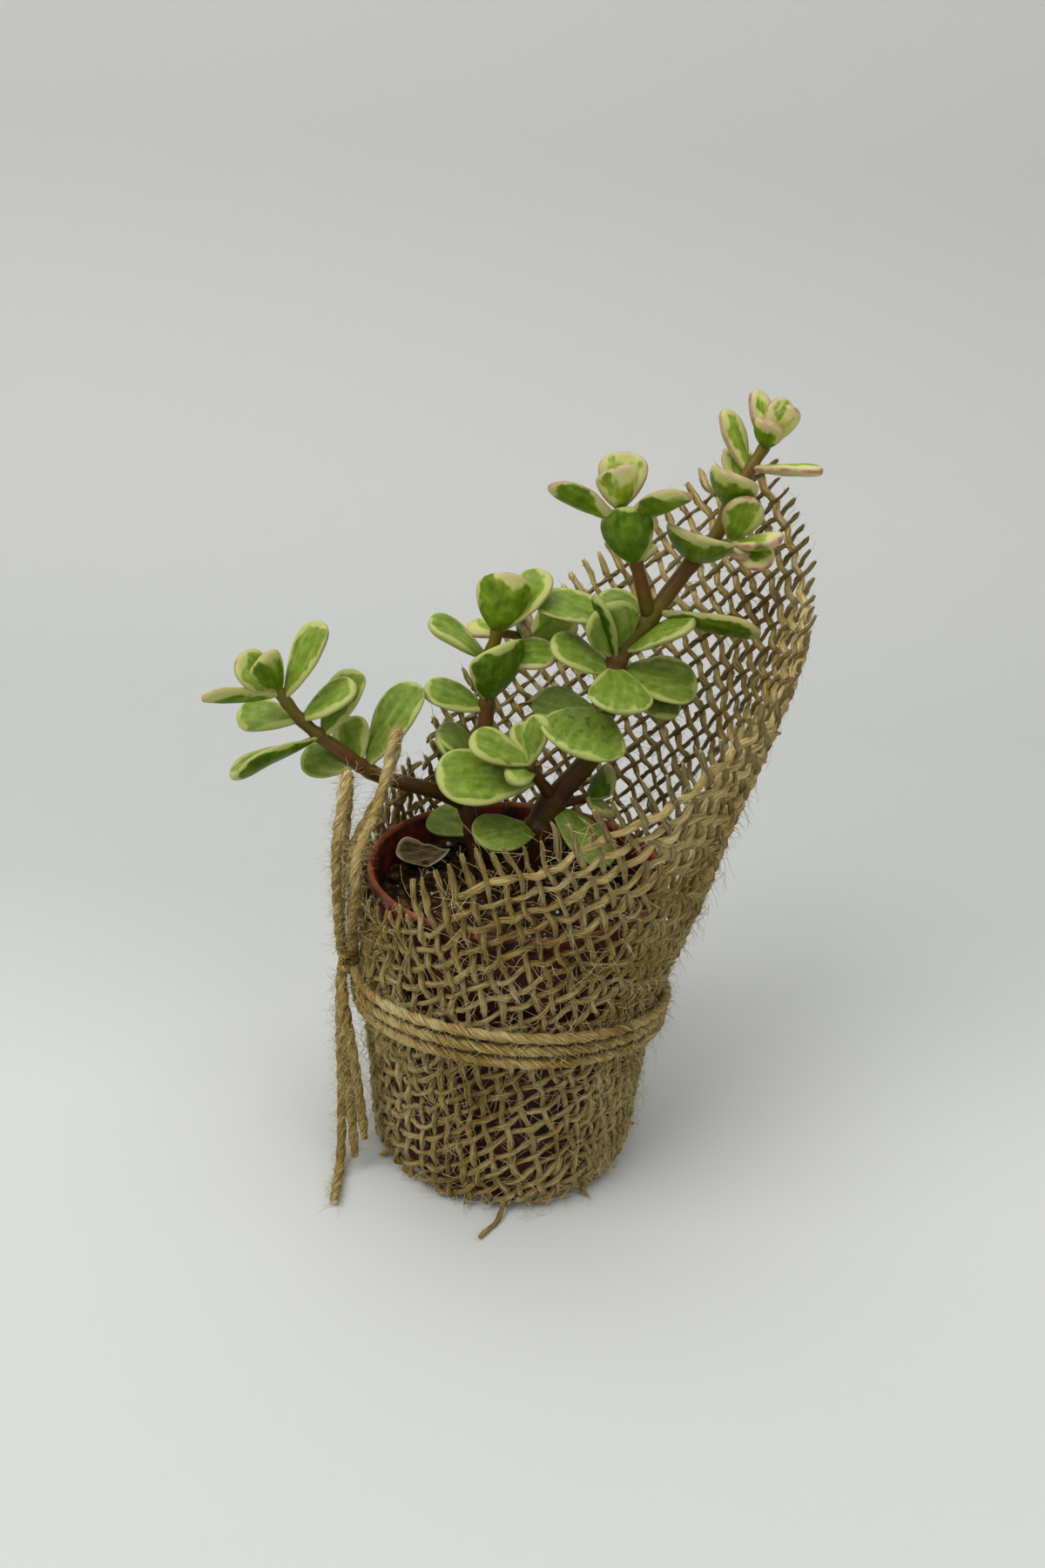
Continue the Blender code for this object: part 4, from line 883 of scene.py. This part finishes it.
shape, layers = new_leaves()
placing = leaf_placing(Vector(DRY_LEAF["place"]) * MM, DRY_LEAF["heading"], DRY_LEAF["rise"],
                       Vector((0, 0, 1)), DRY_LEAF["roll"])
add_leaf(shape, layers, DRY_LEAF["length"], DRY_LEAF["width"], DRY_LEAF["thickness"], DRY_LEAF["cup"],
         DRY_LEAF["curl"], placing, 0, 0)
for vert in shape.verts:
    crumple = noise.noise_vector(vert.co * 280)
    vert.co += Vector((crumple.x, crumple.y, abs(crumple.z))) * CRUMPLE * MM
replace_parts(add_piece("dried_leaf", shape, papery), "dry_leaf")


# The burlap. One square-cut sheet of open plain-weave jute, rolled round the pot like a cornet
# with a corner standing up at the back. Its threads run over and under each other and end in short
# stubs at the cut edges, and each is a soft yarn with coarse strands lying loosely round its core.
THREAD_SPACING = 3.3
THREAD_RADIUS = 0.46
THREAD_SIZES = (0.85, 1.18)
THREAD_STEP = 1.1
WARP_WANDER = 0.35
WEFT_WANDER = 0.75
CRIMP = 0.45
STUB = 3.6
WEFT_STUBS = (0.8, 1.5)
PANEL_WARPS = 22
SLIPPED_WARPS = range(46, 56)
WARP_THINNING = 0.08
WEFT_FLUFF = 0.26
FUZZ_SHARE = 0.5
WOOL_SHARE = 0.75
STRANDS = 2
STRAND_RADIUS = 0.17
STRAND_PITCH = 9
END_FIBRES = 3
SHEET_BOTTOM = 0.9
# At the front the cloth is slack and its threads are twisted askew, eased in and out by roll angle
FRONT_TWIST = 20
SLACK_FROM_ROLL = 170
SLACK_EASE = 60
TWIST_FROM_ROLL = 165
TWIST_EASE = 65
TWIST_TO_ROLL = 290
TWIST_END_EASE = 75
TWIST_REACH = 40
# The first weft is pulled out between these roll angles
PULLED_OUT = (262, 350)
# Threads are laid this far past the sheet's other two edges and cut there
OVERRUN = 10
# Some threads turn outwards where they meet the floor
TURNED_OUT_SHARE = 0.15
FREE_YARN_HEIGHT = 62
# A thread that has worked loose at the front and lies on the floor
LOOSE_THREAD = [(1.4, -25.9, 3.4), (1.1, -27.0, 1.2), (0.3, -29.2, 0.55), (-1.4, -31.4, 0.55),
                (-2.6, -33.2, 0.7)]
ROLL_START_HEADING = 150
ROLL_END = 380
ROLL_START_SLANT = 0.5
CORNER_ROLL = 107.5
CORNER_HEIGHT = 133
START_TOP_ROLL = 24.6
START_TOP_HEIGHT = 76
ROLL_RATE = 0.233
ROLL_APEX = 103
ROLL_SLANT = 0.97
SAG_DEPTH = 22
SAG_FROM_ROLL = 205
SAG_TO_ROLL = 330
SWELL_HEIGHT = 4
SWELL_ROLL = 184
SWELL_WIDTH = 18
HUG_RADII = [(0, 25.2), (36, 27.9), (57, 29.0), (62, 29.0), (70, 28.6)]
FLARE_MEAN = 0.12
FLARE_SWING = 0.16
FLARE_HEADING = 25
FLARE_FROM = 33
FLARE_BLEND = 8
LAP_FROM_ROLL = 318
LAP_TO_ROLL = 346
LAP_OFFSET = 1.65
FLAT_WIDTH = 145
FLAT_LENGTH = 233


def smooth_step(part):
    """Ease from 0 to 1 as part goes from 0 to 1."""
    part = min(max(part, 0), 1)
    return part * part * (3 - 2 * part)


def sag(roll):
    """How far the cloth has slipped down, in millimetres, at a roll angle."""
    swell = SWELL_HEIGHT * math.exp(-((roll - SWELL_ROLL) / SWELL_WIDTH) ** 2)
    return SAG_DEPTH * smooth_step((roll - SAG_FROM_ROLL) / (SAG_TO_ROLL - SAG_FROM_ROLL)) - swell


def flat_point(roll, height):
    """Where a point of the rolled sheet lies on the flat cloth, in millimetres."""
    reach = ROLL_APEX + (height + sag(roll)) / ROLL_SLANT
    turn = math.radians(roll) * ROLL_RATE
    return Vector((reach * math.sin(turn), reach * math.cos(turn)))


def rolled(point):
    """The roll angle and height of a point of the flat cloth."""
    roll = math.degrees(math.atan2(point.x, point.y)) / ROLL_RATE
    return roll, (point.length - ROLL_APEX) * ROLL_SLANT - sag(roll)


def sheet_radius(roll, height):
    """Distance of the sheet from the pot's axis, in millimetres."""
    hug = between(HUG_RADII, height)
    lean = FLARE_MEAN + FLARE_SWING * math.cos(math.radians(ROLL_START_HEADING - roll - FLARE_HEADING))
    rise = max(height - FLARE_FROM, 0)
    rise = rise * rise / (2 * FLARE_BLEND) if rise < FLARE_BLEND else rise - FLARE_BLEND / 2
    lap = LAP_OFFSET * smooth_step((roll - LAP_FROM_ROLL) / (LAP_TO_ROLL - LAP_FROM_ROLL))
    return hug + max(lean, 0) * rise + lap


def round_place(heading, radius, height):
    """A point from a heading in degrees and a radius and height in millimetres."""
    angle = math.radians(heading)
    return Vector((radius * math.cos(angle), radius * math.sin(angle), height))


corner = flat_point(CORNER_ROLL, CORNER_HEIGHT)
along_top = (corner - flat_point(START_TOP_ROLL, START_TOP_HEIGHT)).normalized()
up_side = Vector((-along_top.y, along_top.x))


def cloth_place(from_side, from_top, crimp):
    """Roll angle, height and place of a point of the cloth, given from its two straight cut edges."""
    flat = corner - along_top * from_side - up_side * from_top
    drift = noise.noise_vector(Vector((flat.x * 0.055, flat.y * 0.055, 4)))
    loose = noise.noise_vector(Vector((flat.x * 0.16, flat.y * 0.16, 8)))
    roll = rolled(flat)[0]
    give = 0.8 + 1.2 * smooth_step((roll - SLACK_FROM_ROLL) / SLACK_EASE)
    flat += Vector((drift.x, drift.y)) * give + Vector((loose.x, loose.y)) * 0.7 * give
    roll, height = rolled(flat)
    twisted = smooth_step((roll - TWIST_FROM_ROLL) / TWIST_EASE)
    twisted *= 1 - smooth_step((roll - TWIST_TO_ROLL) / TWIST_END_EASE)
    roll -= FRONT_TWIST * twisted * (1 - math.exp(-from_side / TWIST_REACH))
    lift = 0.35 * drift.z * smooth_step((height - FREE_YARN_HEIGHT) / 15)
    radius = sheet_radius(roll, height) + crimp + lift
    return roll, height, round_place(ROLL_START_HEADING - roll, radius, height)


yarns = {}
for family in ("warp", "weft"):
    yarns[family] = new_curve(family), new_curve(family + "_strands")
    for data, sides in zip(yarns[family], (1, 0)):
        data.bevel_depth = MM
        data.bevel_resolution = sides
fuzz_spots = []
wool_spots = []


def lay_thread(family, number, start, end):
    """Lay one thread of the cloth, as one line for each stretch of it inside the sheet."""
    across = THREAD_SPACING * (number + 0.5)
    # A different stretch of the noise for each thread
    sway = chance.uniform(0, 100)
    thickness = THREAD_RADIUS * chance.uniform(*THREAD_SIZES)
    side = 1 if family == "warp" else -1
    run = []
    steps = int((end - start) / THREAD_STEP)
    for step in range(steps + 2):
        along = start + THREAD_STEP * step
        wave = math.sin(math.pi * along / THREAD_SPACING) * (-1) ** number * side
        wander = (WARP_WANDER if family == "warp" else WEFT_WANDER) * noise.noise((along * 0.13, sway, 1))
        inner = min(along / THREAD_SPACING + 0.7, 1)
        crimp = CRIMP * wave * max(inner, 0.15)
        spot = (along, across + wander) if family == "warp" else (across + wander, along)
        roll, height, place = cloth_place(*spot, crimp)
        start_roll = START_TOP_ROLL - (START_TOP_HEIGHT - height) * ROLL_START_SLANT - 2.5
        pulled_out = family == "weft" and number == 0 and PULLED_OUT[0] < roll < PULLED_OUT[1]
        inside = height > SHEET_BOTTOM and start_roll < roll < ROLL_END and step <= steps and not pulled_out
        if inside:
            run.append(place)
        elif run:
            finish_thread(family, run, thickness, sway)
            run = []


def finish_thread(family, points, thickness, sway):
    """Add one stretch of thread and its strands, and choose where fibres stand off it."""
    if len(points) < 3:
        return
    weave, strands = yarns[family]
    if points[-1].z < SHEET_BOTTOM + 1.5 and chance.random() < TURNED_OUT_SHARE:
        outward = Vector((points[-1].x, points[-1].y, 0)).normalized()
        for _ in range(chance.choice((1, 2))):
            points.append(points[-1] + outward * 0.9 + Vector((0, 0, -0.05)))
            points[-1].z = max(points[-1].z, 0.55)
    radii = []
    for at, point in enumerate(points):
        size = thickness * (1 + 0.4 * noise.noise((at * 0.23, sway, 2)))
        change = -WARP_THINNING if family == "warp" else WEFT_FLUFF
        radii.append(size * (1 + change * smooth_step((point.z - 55) / 25)))
    for at in (0, -1):
        radii[at] *= chance.uniform(0.45, 0.75)
        along = (points[at] - points[1 if at == 0 else -2]).normalized()
        side = along.cross((0, 0, 1)).normalized()
        for _ in range(END_FIBRES):
            wool_spots.append((points[at] - along * 0.5, along, side * chance.uniform(-0.25, 0.25)))
    add_line(weave, points, radii)
    for _ in range(STRANDS):
        turn = chance.uniform(0, math.tau)
        path = []
        for at, point in enumerate(points):
            along = points[min(at + 1, len(points) - 1)] - points[max(at - 1, 0)]
            outward = Vector((point.x, point.y, 0)).normalized()
            angle = turn + math.tau * at * THREAD_STEP / STRAND_PITCH + noise.noise((at * 0.3, turn, 5))
            stand = radii[at] * (1.0 + 0.9 * max(noise.noise((at * 0.37, turn, 7)), -0.2))
            side = along.cross(outward).normalized()
            path.append(point + (outward * math.cos(angle) + side * math.sin(angle)) * stand)
            path[-1].z = max(path[-1].z, 0.3)
        size = STRAND_RADIUS * chance.uniform(0.7, 1.3)
        add_line(strands, path, [size * radii[at] / THREAD_RADIUS for at in range(len(path))])
    for at in range(1, len(points) - 1):
        outward = Vector((points[at].x, points[at].y, 0)).normalized()
        free = points[at].z > FREE_YARN_HEIGHT
        if free and chance.random() < 0.4:
            outward = -outward
        root = (points[at] + outward * thickness * 0.7, outward, (points[at + 1] - points[at]).normalized())
        for share, spots in ((FUZZ_SHARE, fuzz_spots), (WOOL_SHARE, wool_spots)):
            if chance.random() < share:
                spots.append(root)


def stub_range(number):
    """The least and most that a warp thread sticks out at its cut edge, as shares of STUB."""
    if number < PANEL_WARPS:
        return 0.4, 0.9
    if number in SLIPPED_WARPS:
        return -0.5, 0.0
    return 0.7, 1.4


for number in range(int(FLAT_LENGTH / THREAD_SPACING)):
    lay_thread("warp", number, -STUB * chance.uniform(*stub_range(number)), FLAT_WIDTH + OVERRUN)
for number in range(int(FLAT_WIDTH / THREAD_SPACING) + 1):
    lay_thread("weft", number, -STUB * chance.uniform(*WEFT_STUBS), FLAT_LENGTH + OVERRUN)
path = smooth_path(LOOSE_THREAD)
steps = int(path_length(path) / THREAD_STEP)
finish_thread("warp", [walk(path, THREAD_STEP * step)[0] for step in range(steps + 1)], THREAD_RADIUS, 0)
pieces = []
for kind, name in enumerate(("burlap_weave", "burlap_strands")):
    shape = bmesh.new()
    warp_layer = shape.verts.layers.float.new("warp")
    for family, share in (("warp", 1), ("weft", 0)):
        for vert in add_tubes(shape, yarns[family][kind]):
            vert[warp_layer] = share
    bmesh.ops.remove_doubles(shape, verts=shape.verts, dist=0.001 * MM)
    pieces.append(add_piece(name, shape, jute))
burlap, loose = pieces
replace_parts(burlap, "burlap_wrap")
fuzz = add_hairs("burlap_fuzz", fuzz_spots, 5.2, 0.1, 0.35)
wool = add_hairs("burlap_wool", wool_spots, 2.4, 0.07, 0.7, steps=2)


# The twine round the waist. The same jute twine as the bow, wound three times round the wrap and
# pulled tight, then crossed over itself into the knot.
TWINE_TURNS = 3
TWINE_MIDDLE_HEIGHT = 33
TWINE_TILT = 6
TWINE_PITCH = 2.5
TWINE_PITCH_SWING = 0.3
TURN_CLEARANCE = 0.65
TURN_END_ANGLE = 5
CROSS_FROM = 1000
CROSS_CLIMB = 10
CROSS_OFFSET = 2.4
CROSS_EASE = 0.13
KNOT_HEADING = 190
KNOT_HEIGHT = 40
KNOT_TOP = 43.5
KNOT_BAND = 1.2
KNOT_BANDS = [(90, 0), (25, 1.3), (-25, -1.3)]
KNOT_STEPS = 40
KNOT_CLEARANCE = 0.3
KNOT_LIFT = 0.8
KNOT_LIFT_ANGLE = 30
LAP_EASE_FROM = 4
LAP_EASE = 16
SHEET_THICKNESS = 1.1
WAIST_HAIRS = 2600


def outer_radius(heading, height):
    """The outside of the wrap at a heading, in millimetres, eased over the end of the lap."""
    roll = (ROLL_START_HEADING - heading) % 360
    radius = sheet_radius(roll, height)
    past_end = roll + 360 - ROLL_END
    if roll < LAP_FROM_ROLL:
        radius += LAP_OFFSET * (1 - smooth_step((past_end - LAP_EASE_FROM) / LAP_EASE))
    return radius + SHEET_THICKNESS / 2


def turn_point(angle):
    """Centre of the twine after going an angle round the waist from the knot."""
    heading = KNOT_HEADING + angle
    front = -math.sin(math.radians(heading))
    pitch = TWINE_PITCH + TWINE_PITCH_SWING * front
    height = TWINE_MIDDLE_HEIGHT + TWINE_TILT * front + (TWINE_TURNS / 2 - angle / 360) * pitch
    height += KNOT_LIFT * (1 - smooth_step(angle / KNOT_LIFT_ANGLE))
    crossing = (angle - CROSS_FROM) / (360 * TWINE_TURNS - TURN_END_ANGLE - CROSS_FROM)
    height += CROSS_CLIMB * smooth_step(crossing)
    radius = outer_radius(heading, height) + TWINE_RADIUS + TURN_CLEARANCE
    over = smooth_step(crossing / CROSS_EASE) - smooth_step((crossing - 1 + CROSS_EASE) / CROSS_EASE)
    radius += over * CROSS_OFFSET
    return round_place(heading, radius, height)


path = [turn_point(angle) for angle in range(TURN_END_ANGLE, 360 * TWINE_TURNS - TURN_END_ANGLE + 1, 2)]
turns = lay_twine("waist_turns", path, jute)
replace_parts(turns, "twine_turns")
add_hairs("waist_fibres", hair_roots(path, WAIST_HAIRS), 2.8, 0.09, 0.9)

# The knot: three bands of the twine pulled tight over each other.
radius = outer_radius(KNOT_HEADING, KNOT_TOP) + KNOT_CLEARANCE + KNOT_BAND + TWINE_RADIUS
place = Matrix.Translation(round_place(KNOT_HEADING, radius, KNOT_HEIGHT))
place = place @ Matrix.Rotation(math.radians(KNOT_HEADING), 4, "Z")
for index, (tilt, shift) in enumerate(KNOT_BANDS):
    band = place @ Matrix.Translation((0, 0, shift)) @ Matrix.Rotation(math.radians(tilt), 4, "X")
    circle = []
    for step in range(KNOT_STEPS + 1):
        angle = math.tau * step / KNOT_STEPS
        circle.append(band @ Vector((KNOT_BAND * math.cos(angle), KNOT_BAND * math.sin(angle), 0)))
    piece = lay_twine(f"knot_band_{index}", circle, jute, closed=True)
    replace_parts(piece, "knot")


# The studio: a pale paper sweep, painted a little greyer behind as shade, and soft light from large lamps.
SWEEP_WIDTH = 3
SWEEP_FRONT = -1.2
SWEEP_BACK = 0.16
SWEEP_BEND = 0.22
SWEEP_HEIGHT = 1.6
SWEEP_STEPS = 16
shape = bmesh.new()
profile = [(SWEEP_FRONT, 0)]
for step in range(SWEEP_STEPS + 1):
    angle = math.radians(90 * step / SWEEP_STEPS)
    profile.append((SWEEP_BACK + SWEEP_BEND * math.sin(angle), SWEEP_BEND * (1 - math.cos(angle))))
profile.append((SWEEP_BACK + SWEEP_BEND, SWEEP_HEIGHT))
ring = [shape.verts.new((-SWEEP_WIDTH / 2, y, z)) for y, z in profile]
edges = [shape.edges.new(pair) for pair in zip(ring, ring[1:])]
made = bmesh.ops.extrude_edge_only(shape, edges=edges)["geom"]
far_side = [item for item in made if isinstance(item, bmesh.types.BMVert)]
bmesh.ops.translate(shape, vec=(SWEEP_WIDTH, 0, 0), verts=far_side)
bmesh.ops.recalc_face_normals(shape, faces=shape.faces)
mesh = bpy.data.meshes.new("paper_sweep")
shape.to_mesh(mesh)
shape.free()
mesh.shade_smooth()

# Matt paper. It is painted a little darker, as shade, where it lies behind the pot and bends up.
paper, tree, shader = new_finish("pale_paper")
place = add_node(tree, "ShaderNodeTexCoord", give="Object")
behind = add_node(tree, "ShaderNodeSeparateXYZ", {0: place}, give="Y")
above = add_node(tree, "ShaderNodeSeparateXYZ", {0: place}, give="Z")
depth = add_node(tree, "ShaderNodeMath", {0: behind, 1: above}, operation="ADD")
depth = add_node(tree, "ShaderNodeMapRange", {0: depth, 1: 0.0, 2: 0.8})
shade = add_node(tree, "ShaderNodeValToRGB", {"Fac": depth},
                 stops=[(0.0, "#CECFCC"), (0.12, "#C0C1BE"), (0.3, "#BDBEBB"), (0.5, "#C5C5C1"),
                        (0.75, "#C9C9C5")])
fill_inputs(tree, shader, {"Base Color": shade, "Roughness": 0.9})
mesh.materials.append(paper)
sweep = bpy.data.objects.new("paper_sweep", mesh)
scene.collection.objects.link(sweep)

# Each lamp's name, its place and width in metres, and its power. All point at one place
LAMPS = [("key", (-0.55, -0.45, 0.95), 0.8, 7.0), ("fill", (0.7, -0.6, 0.7), 0.9, 2.0),
         ("top", (0, 0.1, 1.2), 0.9, 5.2)]
LIT_PLACE = (0, 0, 0.06)
for name, spot, size, power in LAMPS:
    lamp_data = bpy.data.lights.new(name, "AREA")
    lamp_data.shape = "DISK"
    lamp_data.size = size
    lamp_data.energy = power
    lamp = bpy.data.objects.new(name, lamp_data)
    lamp.location = spot
    lamp.rotation_euler = (Vector(LIT_PLACE) - Vector(spot)).to_track_quat("-Z", "Y").to_euler()
    scene.collection.objects.link(lamp)
world = bpy.data.worlds.new("soft_grey")
world.use_nodes = True
world.node_tree.nodes["Background"].inputs["Color"].default_value = colour("#DDE2E6")
world.node_tree.nodes["Background"].inputs["Strength"].default_value = 0.45
scene.world = world
scene.view_settings.view_transform = "Standard"
